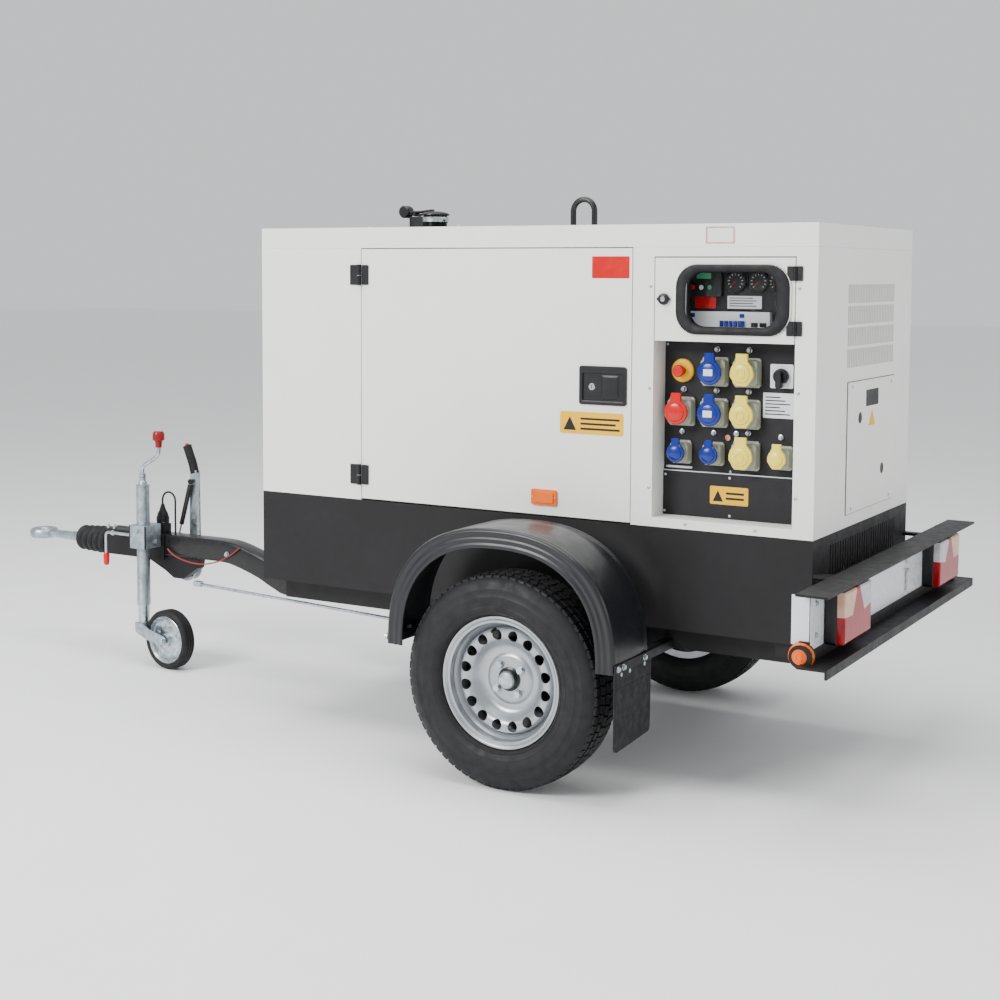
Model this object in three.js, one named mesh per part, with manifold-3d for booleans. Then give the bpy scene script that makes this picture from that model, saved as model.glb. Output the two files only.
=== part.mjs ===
// Towable diesel generator: a sound-proofed canopy on a black fuel-tank base, carried by a
// single-axle road trailer with an overrun coupling, a jockey wheel and a rear light bar.
// Millimetres. +X points to the rear light bar, -X to the tow eye, -Y to the control panel
// side, +Z up. The origin is on the ground, under the centre of the overall box.
import * as THREE from 'three';
import { mergeVertices } from 'three/addons/utils/BufferGeometryUtils.js';
import Module from 'manifold-3d';

const wasm = await Module();
wasm.setup();

// ---------------------------------------------------------------- driving dimensions
const gap = 0.3; // clearance between pieces that rest on each other
const past = 1; // how far a cutter runs past the face it cuts

const canopyLength = 1797;
const canopyWidth = 834;
const baseBottomZ = 442;
const baseHeight = 277.5;
const wallHeight = 757.5;
const lidDepth = 61;
const wallThickness = 20; // sheet steel with its bonded acoustic lining
const baseWall = 12;

const towReach = 1449; // canopy front face to the tip of the tow eye
const lightBarReach = 137; // canopy rear face to the back of the light bar
const axleToRear = 785; // wheel centre ahead of the canopy rear face
const wheelOffset = 191; // wheel centre outside the canopy's side
const tyreRadius = 297.5;
const tyreWidth = 166;
const rimFlangeRadius = 182.4;
const rimWidth = 128;

const doorLength = 901;
const doorThickness = 18;
const controlSection = 521; // canopy rear face to the side door's rear seam
const seam = 3;
const openingLength = 400;
const openingRearMargin = 58;
const openingMarginZ = 25.5;
const recessDepth = 78;
const controlDoorHeight = 226;
const cabinetWall = 15;

const armLength = 150; // axle beam to wheel centre, along the trailing arm
const armRise = 36; // axle beam above the wheel centre
const armThickness = 30;
const beamSize = 80;
const railDepth = 72;
const drawbarHeight = 76;
const drawbarWidth = 70;
const couplingZ = 422; // drawbar centre at the coupling
const shaftZ = 409; // overrun shaft centre
const shaftRadius = 24;
const shaftSides = 20;
const overrunTravel = 85;

const jockeyReach = 805; // jockey stem ahead of the canopy front face
const jockeyY = -95;
const jockeyTubeRadius = 24;
const jockeyTrail = 135;
const jockeySteer = 6; // degrees that the parked jockey wheel is turned outwards
const jockeyRadius = 105;
const jockeyWidth = 54;

const leverY = 72;
const pivotReach = 709; // handbrake pivot ahead of the canopy front face
const pivotZ = 334;

// ---------------------------------------------------------------- derived positions
const overallLength = towReach + canopyLength + lightBarReach;
const rear = overallLength / 2 - lightBarReach;
const front = rear - canopyLength;
const half = canopyWidth / 2;
const halfTrack = half + wheelOffset;
const jockeyX = front - jockeyReach;
const pivotX = front - pivotReach;
const baseTopZ = baseBottomZ + baseHeight;
const canopyTopZ = baseTopZ + wallHeight;
const roofZ = canopyTopZ + lidDepth;
const wheelX = rear - axleToRear;
const beamX = wheelX - armLength;
const beamZ = tyreRadius + armRise;
const railBottomZ = baseBottomZ - railDepth;
const doorRearX = rear - controlSection;
const doorFrontX = doorRearX - doorLength;
const openingRearX = rear - openingRearMargin;
const openingFrontX = openingRearX - openingLength;
const openingBottomZ = baseTopZ + openingMarginZ;
const openingTopZ = canopyTopZ - openingMarginZ;
const controlDoorZ = openingTopZ - controlDoorHeight;
const panelY = -half + recessDepth;
const deckZ = baseTopZ + 22.5; // top of the engine bearers
const nearSide = -1;
const farSide = 1;

// ---------------------------------------------------------------- colours
const paint = (color, roughness, metalness) => new THREE.MeshStandardMaterial({ color, roughness, metalness });
const white = () => paint(0xe6e8e4, 0.42, 0.0);
const black = () => paint(0x1d1c1e, 0.45, 0.1);
const blackPlastic = () => paint(0x17171a, 0.35, 0.0);
const rubber = () => paint(0x18181a, 0.85, 0.0);
const galvanised = () => paint(0x8d979c, 0.4, 0.85);
const silver = () => paint(0xc2c6c8, 0.32, 0.8);
const red = () => paint(0xb01818, 0.4, 0.0);
const blue = () => paint(0x0a3c9c, 0.4, 0.0);
const yellow = () => paint(0xe8d978, 0.4, 0.0);
const lensRed = () => paint(0xa51c24, 0.15, 0.0);
const glass = () => paint(0x9aa4a8, 0.05, 0.0);
const castIron = () => paint(0x4a5a52, 0.6, 0.4);

// ---------------------------------------------------------------- solids
// A closed three.js geometry becomes a manifold solid with its faces pointing outwards.
function solid(geometry) {
  const bare = geometry.clone();
  bare.deleteAttribute('normal');
  bare.deleteAttribute('uv');
  const merged = mergeVertices(bare, 1e-3);
  const points = merged.attributes.position.array;
  const corners = new Uint32Array(merged.index.array);
  let volume = 0;
  const at = (i) => new THREE.Vector3().fromArray(points, corners[i] * 3);
  for (let i = 0; i < corners.length; i += 3) {
    volume += at(i).dot(at(i + 1).cross(at(i + 2)));
  }
  if (volume < 0) {
    for (let i = 0; i < corners.length; i += 3) {
      const first = corners[i];
      corners[i] = corners[i + 1];
      corners[i + 1] = first;
    }
  }
  return new wasm.Manifold(new wasm.Mesh({ numProp: 3, vertProperties: points, triVerts: corners }));
}

const joined = (...bodies) => bodies.reduce((all, body) => all.add(body));
const cut = (body, ...cutters) => cutters.reduce((left, cutter) => left.subtract(cutter), body);

function box(x0, x1, y0, y1, z0, z1) {
  const block = new THREE.BoxGeometry(x1 - x0, y1 - y0, z1 - z0);
  return solid(block.translate((x0 + x1) / 2, (y0 + y1) / 2, (z0 + z1) / 2));
}

function turnTo(geometry, axis) {
  if (axis === 'x') geometry.rotateZ(-Math.PI / 2);
  if (axis === 'z') geometry.rotateX(Math.PI / 2);
  return geometry;
}

// A round bar centred on [x, y, z], lying along an axis.
function bar(axis, centre, radius, length, sides = 16) {
  const geometry = turnTo(new THREE.CylinderGeometry(radius, radius, length, sides), axis);
  return solid(geometry.translate(...centre));
}

// A turned solid: [radius, distance along the axis] points, from axis to axis or a closed ring.
// A flat of the polygon, not a corner, is turned down to the ground.
function turned(axis, centre, profile, sides, closed = false) {
  const points = profile.map(([r, h]) => new THREE.Vector2(r, h));
  if (closed) points.push(points[0].clone());
  const geometry = new THREE.LatheGeometry(points, sides, Math.PI / sides);
  return solid(turnTo(geometry, axis).translate(...centre));
}

function outline(points) {
  return new THREE.Shape(points.map(([a, b]) => new THREE.Vector2(a, b)));
}

function extruded(shape, depth, basis, offset) {
  const geometry = new THREE.ExtrudeGeometry(shape, { depth, bevelEnabled: false, curveSegments: 5 });
  return solid(geometry.applyMatrix4(basis).translate(...offset));
}

const axisX = new THREE.Vector3(1, 0, 0);
const axisY = new THREE.Vector3(0, 1, 0);
const axisZ = new THREE.Vector3(0, 0, 1);
const basisAlongX = new THREE.Matrix4().makeBasis(axisY, axisZ, axisX);
const basisAlongY = new THREE.Matrix4().makeBasis(axisX, axisZ, axisY.clone().negate());
const basisAlongZ = new THREE.Matrix4();

const slabAlongX = (shape, x0, x1) => extruded(shape, x1 - x0, basisAlongX, [x0, 0, 0]);
const slabAlongY = (shape, y0, y1) => extruded(shape, y1 - y0, basisAlongY, [0, y1, 0]);
const slabAlongZ = (shape, z0, z1) => extruded(shape, z1 - z0, basisAlongZ, [0, 0, z0]);

// A rectangle with round corners, as a shape.
function roundedRectangle(a0, a1, b0, b1, radius) {
  const shape = new THREE.Shape();
  shape.absarc(a1 - radius, b0 + radius, radius, -Math.PI / 2, 0);
  shape.absarc(a1 - radius, b1 - radius, radius, 0, Math.PI / 2);
  shape.absarc(a0 + radius, b1 - radius, radius, Math.PI / 2, Math.PI);
  shape.absarc(a0 + radius, b0 + radius, radius, Math.PI, Math.PI * 1.5);
  return shape;
}

// A round rod or cable along points.
function rodAlong(points, radius, sides, steps) {
  const path = new THREE.CatmullRomCurve3(points.map((p) => new THREE.Vector3(...p)), false, 'centripetal');
  const ring = [];
  for (let i = 0; i < sides; i += 1) {
    const angle = (2 * Math.PI * i) / sides;
    ring.push([radius * Math.cos(angle), radius * Math.sin(angle)]);
  }
  return solid(new THREE.ExtrudeGeometry(outline(ring), { extrudePath: path, steps, bevelEnabled: false }));
}

// An arc of [x, z] points round a centre, angles in degrees from +X towards +Z.
function arc(x, z, radius, from, to, steps) {
  return Array.from({ length: steps + 1 }, (_, i) => {
    const angle = THREE.MathUtils.degToRad(from + ((to - from) * i) / steps);
    return [x + radius * Math.cos(angle), z + radius * Math.sin(angle)];
  });
}

const generator = new THREE.Group();

function part(name, body, material, group = generator) {
  const mesh = body.getMesh();
  const geometry = new THREE.BufferGeometry();
  geometry.setAttribute('position', new THREE.BufferAttribute(mesh.vertProperties, 3));
  geometry.setIndex(new THREE.BufferAttribute(mesh.triVerts, 1));
  geometry.computeVertexNormals();
  const node = new THREE.Mesh(geometry, material);
  node.name = name;
  group.add(node);
}

// A piece described on the near side, or its mirror image on the far side.
const onSide = (side, body) => (side === nearSide ? body : body.mirror([0, 1, 0]));

// ---------------------------------------------------------------- black base with its fuel tank
const bearerY = 190;
const bearerWidth = 50;
const bearerBottomZ = baseTopZ - 30;
const tankTopZ = bearerBottomZ - 10;
const louvreCount = 28;
const louvreField = [-288, 296];
const louvreZ = [baseTopZ - 115, baseTopZ - 30];

function baseTray() {
  const outer = box(front, rear, -half, half, baseBottomZ, baseTopZ - gap);
  const inside = box(
    front + baseWall, rear - baseWall, -half + baseWall, half - baseWall,
    baseBottomZ + baseWall, baseTopZ + past,
  );
  const pitch = (louvreField[1] - louvreField[0]) / louvreCount;
  const louvres = Array.from({ length: louvreCount }, (_, i) => {
    const y = louvreField[0] + pitch * (i + 0.5);
    return box(rear - baseWall - past, rear + past, y - pitch / 6, y + pitch / 6, ...louvreZ);
  });
  const bearers = [-bearerY, bearerY].flatMap((y) => {
    const y0 = y - bearerWidth / 2;
    const y1 = y + bearerWidth / 2;
    return [
      box(front + baseWall / 2, rear - baseWall / 2, y0, y1, bearerBottomZ, baseTopZ - 2 * gap),
      box(front + 2 * wallThickness, rear - 2 * wallThickness, y0, y1, bearerBottomZ, deckZ - gap),
    ];
  });
  return joined(cut(outer, inside, ...louvres), ...bearers);
}

function fuelTank() {
  const tank = box(
    front + 60, rear - 260, -half + 50, half - 50,
    baseBottomZ + baseWall + gap, tankTopZ,
  );
  const filler = bar('z', [front + 120, 300, (tankTopZ + deckZ) / 2], 35, deckZ - tankTopZ + 40);
  return joined(tank, filler);
}

part('base_tray', baseTray(), black());
part('fuel_tank', fuelTank(), blackPlastic());

// ---------------------------------------------------------------- canopy
const frameLip = 17.5; // inner door frame behind the door
const doorFrameInset = 30;
const hingeHeight = 60;
const hingeLeaf = 36;
const hingeLeafThickness = 4;
const hingeRadius = 6;
const hingeX = doorFrontX - seam;
const hingeY = half + hingeRadius; // distance of the hinge axis from the centre plane
const hingeZ = [canopyTopZ - 80, baseTopZ + 77];
const ventRows = 4;
const ventColumns = 28;
const ventBar = 4; // upright bars between the slots
const ventRail = 8; // level rails between the rows
const ventField = { y0: -172, y1: 246, z0: canopyTopZ - 327, z1: canopyTopZ - 94 };

function hingeFixed(z) {
  const leaf = box(
    hingeX - hingeLeaf, hingeX, -half - hingeLeafThickness, -half + past,
    z - hingeHeight / 2, z + hingeHeight / 2,
  );
  return joined(leaf, bar('z', [hingeX, -hingeY, z], hingeRadius, hingeHeight, 10));
}

function doorFrame() {
  const outer = box(
    doorFrontX - doorFrameInset, doorRearX + doorFrameInset,
    -half + doorThickness + 2 * gap, -half + doorThickness + frameLip, baseTopZ, canopyTopZ - gap,
  );
  const way = box(
    doorFrontX + doorFrameInset, doorRearX - doorFrameInset, -half, -half + 2 * wallThickness,
    baseTopZ + doorFrameInset, canopyTopZ - 1.5 * doorFrameInset,
  );
  return cut(outer, way);
}

function vents() {
  const pitchY = (ventField.y1 - ventField.y0) / ventColumns;
  const pitchZ = (ventField.z1 - ventField.z0) / ventRows;
  const slots = [];
  for (let row = 0; row < ventRows; row += 1) {
    for (let column = 0; column < ventColumns; column += 1) {
      const y = ventField.y0 + pitchY * column;
      const z = ventField.z0 + pitchZ * row;
      slots.push(box(
        rear - 2 * wallThickness, rear + past, y + ventBar / 2, y + pitchY - ventBar / 2,
        z + ventRail / 2, z + pitchZ - ventRail / 2,
      ));
    }
  }
  return slots;
}

function canopyShell() {
  const outer = box(front, rear, -half, half, baseTopZ, canopyTopZ - gap);
  const inside = box(
    front + wallThickness, rear - wallThickness, -half + wallThickness, half - wallThickness,
    baseTopZ - past, canopyTopZ + past,
  );
  const doorway = box(doorFrontX, doorRearX, -half - past, -half + wallThickness + past,
    baseTopZ - past, canopyTopZ + past);
  const opening = box(openingFrontX, openingRearX, -half - past, -half + wallThickness + past,
    openingBottomZ, openingTopZ);
  const walls = cut(outer, inside, doorway, doorway.mirror([0, 1, 0]), opening, ...vents());
  const sides = [nearSide, farSide].flatMap((side) => [
    onSide(side, doorFrame()),
    ...hingeZ.map((z) => onSide(side, hingeFixed(z))),
  ]);
  return joined(walls, ...sides);
}

part('canopy_shell', canopyShell(), white());

// ---------------------------------------------------------------- roof lid, lifting eye, exhaust
const exhaustX = rear - 1425;
const exhaustPipeRadius = 38;
const exhaustPlate = [387, 300, 12];
const exhaustPipeTopZ = roofZ + 58;
const flapHingeX = exhaustX - exhaustPipeRadius - 16;
const flapHingeZ = exhaustPipeTopZ + 4 + gap;
const eyeX = rear - 889;
const eyeRadius = 36; // centre line of the loop
const eyeBar = 9;
const eyeHeight = 100;

function roofLid() {
  const outer = box(front, rear, -half, half, canopyTopZ, roofZ);
  const inside = box(
    front + wallThickness, rear - wallThickness, -half + wallThickness, half - wallThickness,
    canopyTopZ - past, roofZ - wallThickness,
  );
  const pipeHole = bar('z', [exhaustX, 0, roofZ], exhaustPipeRadius + 4, 3 * wallThickness);
  return cut(outer, inside, pipeHole);
}

function liftingEye() {
  const top = roofZ + eyeHeight - eyeBar - eyeRadius;
  const loop = [
    [eyeX - eyeRadius, 0, roofZ + gap + 2],
    [eyeX - eyeRadius, 0, top],
    ...arc(eyeX, top, eyeRadius, 150, 30, 4).map(([x, z]) => [x, 0, z]),
    [eyeX + eyeRadius, 0, top],
    [eyeX + eyeRadius, 0, roofZ + gap + 2],
  ];
  const pad = box(eyeX - 62, eyeX + 62, -40, 40, roofZ + gap, roofZ + gap + 5);
  return joined(rodAlong(loop, eyeBar, 10, 26), pad);
}

function exhaustOutlet() {
  const [length, width, thickness] = exhaustPlate;
  const plateZ = roofZ + gap;
  const plate = box(exhaustX - length / 2, exhaustX + length / 2, -width / 2, width / 2, plateZ, plateZ + thickness);
  const silencerZ = canopyTopZ - 130;
  const pipe = bar('z', [exhaustX, 0, (silencerZ + exhaustPipeTopZ) / 2], exhaustPipeRadius,
    exhaustPipeTopZ - silencerZ);
  const bore = bar('z', [exhaustX, 0, exhaustPipeTopZ], exhaustPipeRadius - 4, 120);
  const silencer = bar('x', [exhaustX + 120, 0, silencerZ], 85, 620, 20);
  const bracket = box(flapHingeX - 8, exhaustX - exhaustPipeRadius + 6, -22, 22,
    plateZ + 2, flapHingeZ - 12);
  const clamp = bar('z', [exhaustX, 0, exhaustPipeTopZ - 22], exhaustPipeRadius + 6, 14);
  return cut(joined(plate, pipe, silencer, bracket, clamp), bore);
}

function exhaustFlap() {
  const disc = bar('z', [exhaustX, 0, flapHingeZ], exhaustPipeRadius + 8, 8, 20);
  const arm = box(flapHingeX - 58, exhaustX, -12, 12, flapHingeZ - 4, flapHingeZ + 8);
  const weight = bar('y', [flapHingeX - 58, 0, flapHingeZ + 6], 20, 34);
  return joined(disc, arm, weight);
}

part('roof_lid', roofLid(), white());
part('lifting_eye', liftingEye(), black());
part('exhaust_outlet', exhaustOutlet(), black());
part('exhaust_flap', exhaustFlap(), black());

// ---------------------------------------------------------------- side doors and their handles
const doorBottomZ = baseTopZ + 5;
const doorTopZ = canopyTopZ - seam;
const latchFrame = { x0: doorRearX - 159, x1: doorRearX - 16, z0: doorBottomZ + 320, z1: doorBottomZ + 425 };
const latchLift = 3;
const paddle = { x0: latchFrame.x0 + 63, x1: latchFrame.x1 - 21, z0: latchFrame.z0 + 13, z1: latchFrame.z1 - 21 };
const paddlePocket = 4;
const dishDepth = 10;
const paddleThickness = 8;

function sideDoor() {
  const panel = box(doorFrontX + seam, doorRearX - seam, -half, -half + doorThickness, doorBottomZ, doorTopZ);
  const leaves = hingeZ.map((z) => box(
    hingeX + hingeRadius + 1, hingeX + hingeLeaf - 6, -half - hingeLeafThickness, -half + past,
    z - hingeHeight / 2, z + hingeHeight / 2,
  ));
  const frame = box(latchFrame.x0, latchFrame.x1, -half - latchLift, -half + past, latchFrame.z0, latchFrame.z1);
  const dish = box(
    latchFrame.x0 + 8, paddle.x1 + 14, -half - latchLift - past, -half + dishDepth,
    paddle.z0 - paddlePocket, paddle.z1 + paddlePocket,
  );
  const keyBarrel = bar('y', [latchFrame.x0 + 36, -half + 6, (paddle.z0 + paddle.z1) / 2], 9, 10, 12);
  return joined(cut(joined(panel, ...leaves, frame), dish), keyBarrel);
}

function doorHandle() {
  const plate = box(paddle.x0, paddle.x1, -half - 1, -half - 1 + paddleThickness, paddle.z0, paddle.z1);
  return plate;
}

for (const [side, word] of [[nearSide, 'near'], [farSide, 'far']]) {
  part(`side_door_${word}`, onSide(side, sideDoor()), white());
  part(`door_handle_${word}`, onSide(side, doorHandle()), blackPlastic());
}

// ---------------------------------------------------------------- control cabinet and its door
const cabinetBackY = panelY + 60;
const windowHole = { x0: openingFrontX + 96, x1: openingRearX - 44, z0: controlDoorZ + 35, z1: openingTopZ - 36 };
const windowCorner = 46;
const gasketWidth = 32;
const gasketLift = 6;
const paneThickness = 4;
const lockX = openingFrontX + 30;
const lockZ = controlDoorZ + 112;
const lockRadius = 12;
const controlHingeX = openingRearX - 1;
const controlHingeY = -half - 5;
const controlHingeZ = [openingTopZ - 44, controlDoorZ + 40];

function controlCabinet() {
  const wallInside = -half + wallThickness + gap;
  const outer = box(
    openingFrontX - cabinetWall, openingRearX + cabinetWall, wallInside, cabinetBackY + 3,
    openingBottomZ - cabinetWall, openingTopZ + cabinetWall - 2,
  );
  const inside = box(openingFrontX, openingRearX, wallInside - past, cabinetBackY, openingBottomZ, openingTopZ);
  return cut(outer, inside);
}

function windowShape(grow) {
  return roundedRectangle(windowHole.x0 - grow, windowHole.x1 + grow, windowHole.z0 - grow * 0.45,
    windowHole.z1 + grow * 0.45, windowCorner + grow * 0.45);
}

function controlDoor() {
  const panel = box(openingFrontX + seam, openingRearX - seam, -half, -half + doorThickness,
    controlDoorZ, openingTopZ - seam);
  const gasket = slabAlongY(windowShape(gasketWidth), -half - gasketLift, -half + past);
  const leaves = controlHingeZ.map((z) => box(
    controlHingeX - 24, controlHingeX - 5, -half - 3, -half + past, z - 19, z + 19,
  ));
  const lockHole = bar('y', [lockX, -half, lockZ], lockRadius + gap, 4 * doorThickness);
  const hole = slabAlongY(windowShape(0), -half - 2 * gasketLift, -half + 2 * doorThickness);
  return cut(joined(panel, gasket, ...leaves), hole, lockHole);
}

function windowPane() {
  return slabAlongY(windowShape(-gap), -half + 2, -half + 2 + paneThickness);
}

function controlDoorLock() {
  const barrel = bar('y', [lockX, -half + 6, lockZ], lockRadius, doorThickness + 12, 12);
  const cam = box(lockX - 20, lockX + 6, -half + doorThickness + 1, -half + doorThickness + 4, lockZ - 8, lockZ + 8);
  return joined(barrel, cam);
}

part('control_cabinet', controlCabinet(), white());
part('control_door', controlDoor(), white());
part('window_pane', windowPane(), glass());
part('control_door_lock', controlDoorLock(), blackPlastic());

// ---------------------------------------------------------------- instrument and socket panels
const panelThickness = 6;
const instrumentBottomZ = controlDoorZ - 2;
const panelFront = openingFrontX + gap;
const panelRear = openingRearX - gap;
const coverTopZ = openingBottomZ + 123;
const rowZ = [openingBottomZ + 398, openingBottomZ + 287, openingBottomZ + 176];
const columnX = [openingFrontX + 55, openingFrontX + 151, openingFrontX + 243, openingFrontX + 344];
const stub = 44; // length of a socket's round body in front of its flange
const flangeThickness = 8;
const large = { flange: [72, 77], radius: 31, lid: 34 };
const small = { flange: [54, 62], radius: 23, lid: 26 };
const sockets = [
  { name: 'lid_blue_32a_upper', column: 1, row: 0, kind: large, colour: blue },
  { name: 'lid_yellow_32a_upper', column: 2, row: 0, kind: large, colour: yellow },
  { name: 'lid_red_5pin', column: 0, row: 1, kind: large, colour: red },
  { name: 'lid_blue_32a_lower', column: 1, row: 1, kind: large, colour: blue },
  { name: 'lid_yellow_32a_middle', column: 2, row: 1, kind: large, colour: yellow },
  { name: 'lid_blue_16a_front', column: 0, row: 2, kind: small, colour: blue },
  { name: 'lid_blue_16a_rear', column: 1, row: 2, kind: small, colour: blue },
  { name: 'lid_yellow_32a_lower', column: 2, row: 2, kind: large, colour: yellow },
  { name: 'lid_yellow_16a', column: 3, row: 2, kind: small, colour: yellow },
];
const buttonX = columnX[0];
const buttonZ = rowZ[0];
const collarRadius = 31;
const neckRadius = 10;
const selectorX = columnX[3] - 6;
const selectorZ = rowZ[0] - 6;

function socketBody({ column, row, kind }) {
  const x = columnX[column];
  const z = rowZ[row];
  const [width, height] = kind.flange;
  const flange = box(x - width / 2, x + width / 2, panelY - flangeThickness, panelY + past, z - height / 2, z + height / 2);
  const body = bar('y', [x, panelY - stub / 2, z], kind.radius, stub, 14);
  return joined(flange, body);
}

function socketPanel() {
  const plate = box(panelFront, panelRear, panelY, panelY + panelThickness,
    openingBottomZ + gap, instrumentBottomZ - gap);
  const cover = box(panelFront, panelRear, panelY - 5, panelY + past, openingBottomZ + gap, coverTopZ);
  const collar = cut(
    bar('y', [buttonX, panelY - 4, buttonZ], collarRadius, 10, 20),
    bar('y', [buttonX, panelY - 6, buttonZ], neckRadius + 2 * gap, 8, 16),
  );
  const selectorPlate = box(selectorX - 32, selectorX + 32, panelY - 4, panelY + past, selectorZ - 32, selectorZ + 32);
  return joined(plate, cover, collar, selectorPlate, ...sockets.map(socketBody));
}

function socketLid({ column, row, kind }) {
  const x = columnX[column];
  const z = rowZ[row];
  const y0 = panelY - stub - gap - 9;
  const y1 = panelY - stub - gap;
  const disc = bar('y', [x, (y0 + y1) / 2, z], kind.lid, 9, 20);
  const tab = box(x - kind.lid * 0.5, x + kind.lid * 0.5, y0, y1, z, z + kind.lid * 1.55);
  return joined(disc, tab);
}

function stopButton() {
  const neck = bar('y', [buttonX, panelY - 19.5, buttonZ], neckRadius, 22, 16);
  const head = bar('y', [buttonX, panelY - 36, buttonZ], 16, 14, 16);
  return joined(neck, head);
}

function selectorKnob() {
  const disc = bar('y', [selectorX, panelY - 12.5, selectorZ], 20, 16, 18);
  const pointer = box(selectorX - 8, selectorX + 8, panelY - 34, panelY - 10, selectorZ - 30, selectorZ + 12);
  return joined(disc, pointer);
}

function instrumentPanel() {
  const plate = box(panelFront, panelRear, panelY, panelY + panelThickness, instrumentBottomZ, openingTopZ - gap);
  const controller = box(panelFront + 67, panelFront + 167, panelY - 14, panelY + past, openingTopZ - 105, openingTopZ - 32);
  const gaugeX = [205, 270, 323].map((offset) => panelFront + offset);
  const gauges = gaugeX.map((x) => bar('y', [x, panelY - 3, openingTopZ - 66], 26, 10, 20));
  const breakers = box(panelFront + 75, panelFront + 305, panelY - 18, panelY + past,
    controlDoorZ + 27, controlDoorZ + 78);
  return joined(plate, controller, ...gauges, breakers);
}

part('socket_panel', socketPanel(), black());
for (const socket of sockets) part(socket.name, socketLid(socket), socket.colour());
part('estop_button', stopButton(), red());
part('selector_knob', selectorKnob(), blackPlastic());
part('instrument_panel', instrumentPanel(), black());

// ---------------------------------------------------------------- engine and alternator inside
const engineX = rear - 1110;
const alternatorX = rear - 700;
const shaftLineZ = deckZ + 250;
const radiatorX = front + 250;

function engine() {
  const sump = box(engineX - 200, engineX + 200, -130, 130, deckZ + 30, deckZ + 160);
  const block = box(engineX - 240, engineX + 240, -150, 150, deckZ + 150, deckZ + 430);
  const head = box(engineX - 230, engineX + 230, -110, 110, deckZ + 420, deckZ + 500);
  const feet = [-170, 170].flatMap((x) => [-1, 1].map((side) => box(
    engineX + x - 30, engineX + x + 30, Math.min(side * 120, side * 215), Math.max(side * 120, side * 215),
    deckZ, deckZ + 170,
  )));
  const pulley = bar('x', [engineX - 250, 0, shaftLineZ], 80, 30, 20);
  const filter = bar('z', [engineX + 60, -205, deckZ + 300], 55, 170, 16);
  const filterPort = box(engineX + 40, engineX + 80, -205, -140, deckZ + 250, deckZ + 290);
  return joined(sump, block, head, ...feet, pulley, filter, filterPort);
}

function alternator() {
  const start = engineX + 240 - past;
  const bell = bar('x', [start + 40, 0, shaftLineZ], 190, 80, 24);
  const body = bar('x', [start + 230, 0, shaftLineZ], 165, 320, 24);
  const endBox = box(start + 170, start + 370, -120, 120, shaftLineZ + 120, shaftLineZ + 260);
  const feet = [-1, 1].map((side) => box(
    start + 100, start + 300, Math.min(side * 60, side * 210), Math.max(side * 60, side * 210), deckZ, deckZ + 130,
  ));
  return joined(bell, body, endBox, ...feet);
}

function radiator() {
  const core = box(radiatorX - 35, radiatorX + 35, -290, 290, deckZ, deckZ + 500);
  const shroud = bar('x', [radiatorX + 60, 0, shaftLineZ], 225, 60, 28);
  const tunnel = bar('x', [radiatorX + 90, 0, shaftLineZ], 205, 100, 28);
  return cut(joined(core, shroud), tunnel);
}

function coolingFan() {
  const fanX = radiatorX + 65;
  const hub = bar('x', [fanX + 10, 0, shaftLineZ], 45, 45, 14);
  const blades = Array.from({ length: 6 }, (_, i) => {
    const blade = new THREE.BoxGeometry(6, 62, 150).rotateZ(0.5).translate(0, 0, 110);
    return solid(blade.rotateX((Math.PI * i) / 3).translate(fanX + 10, 0, shaftLineZ));
  });
  const spindle = bar('x', [(fanX + engineX - 265 - gap) / 2 + 10, 0, shaftLineZ], 16,
    engineX - 265 - gap - fanX - 20, 12);
  return joined(hub, ...blades, spindle);
}

part('engine_and_alternator', joined(engine(), alternator()), castIron());
part('radiator', radiator(), black());
part('cooling_fan', coolingFan(), blackPlastic());

// ---------------------------------------------------------------- chassis, drawbar and axle
const railY = 300;
const railWidth = 60;
const armInnerY = halfTrack - tyreWidth / 2 - armThickness - 14;
const drawbarLowZ = railBottomZ - gap - drawbarHeight / 2;
const couplingRearX = front - 843;
const drawbarRearX = beamX - beamSize / 2 - gap;

function chassisFrame() {
  const rails = [-railY, railY].map((y) => box(front + 20, rear - 40, y - railWidth / 2, y + railWidth / 2,
    railBottomZ, baseBottomZ - gap));
  const crossX = [front + 60, (front + beamX) / 2, beamX, rear - 130];
  const crosses = crossX.map((x) => box(x - 30, x + 30, -railY, railY, railBottomZ, baseBottomZ - 2 * gap));
  const beam = box(beamX - beamSize / 2, beamX + beamSize / 2, -armInnerY + gap, armInnerY - gap,
    beamZ - beamSize / 2, Math.max(beamZ + beamSize / 2, railBottomZ + 5));
  return joined(...rails, ...crosses, beam);
}

function drawbar() {
  const centre = [
    [couplingRearX + gap, couplingZ], [couplingRearX + 200, couplingZ], [front - 503, couplingZ], [front - 433, couplingZ - 9],
    [front - 328, couplingZ - 41], [front - 258, drawbarLowZ + 18], [front - 188, drawbarLowZ],
  ];
  const curve = new THREE.CatmullRomCurve3(centre.map(([x, z]) => new THREE.Vector3(x, 0, z)), false, 'centripetal');
  const steps = 22;
  const top = [];
  const bottom = [];
  for (let i = 0; i <= steps; i += 1) {
    const at = curve.getPoint(i / steps);
    const along = curve.getTangent(i / steps);
    const across = new THREE.Vector3(-along.z, 0, along.x).multiplyScalar(drawbarHeight / 2);
    top.push([at.x + across.x, at.z + across.z]);
    bottom.push([at.x - across.x, at.z - across.z]);
  }
  top.push([drawbarRearX, drawbarLowZ + drawbarHeight / 2]);
  bottom.push([drawbarRearX, drawbarLowZ - drawbarHeight / 2]);
  return slabAlongY(outline([...top, ...bottom.reverse()]), -drawbarWidth / 2, drawbarWidth / 2);
}

part('chassis_frame', chassisFrame(), black());
part('drawbar', drawbar(), black());

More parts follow.
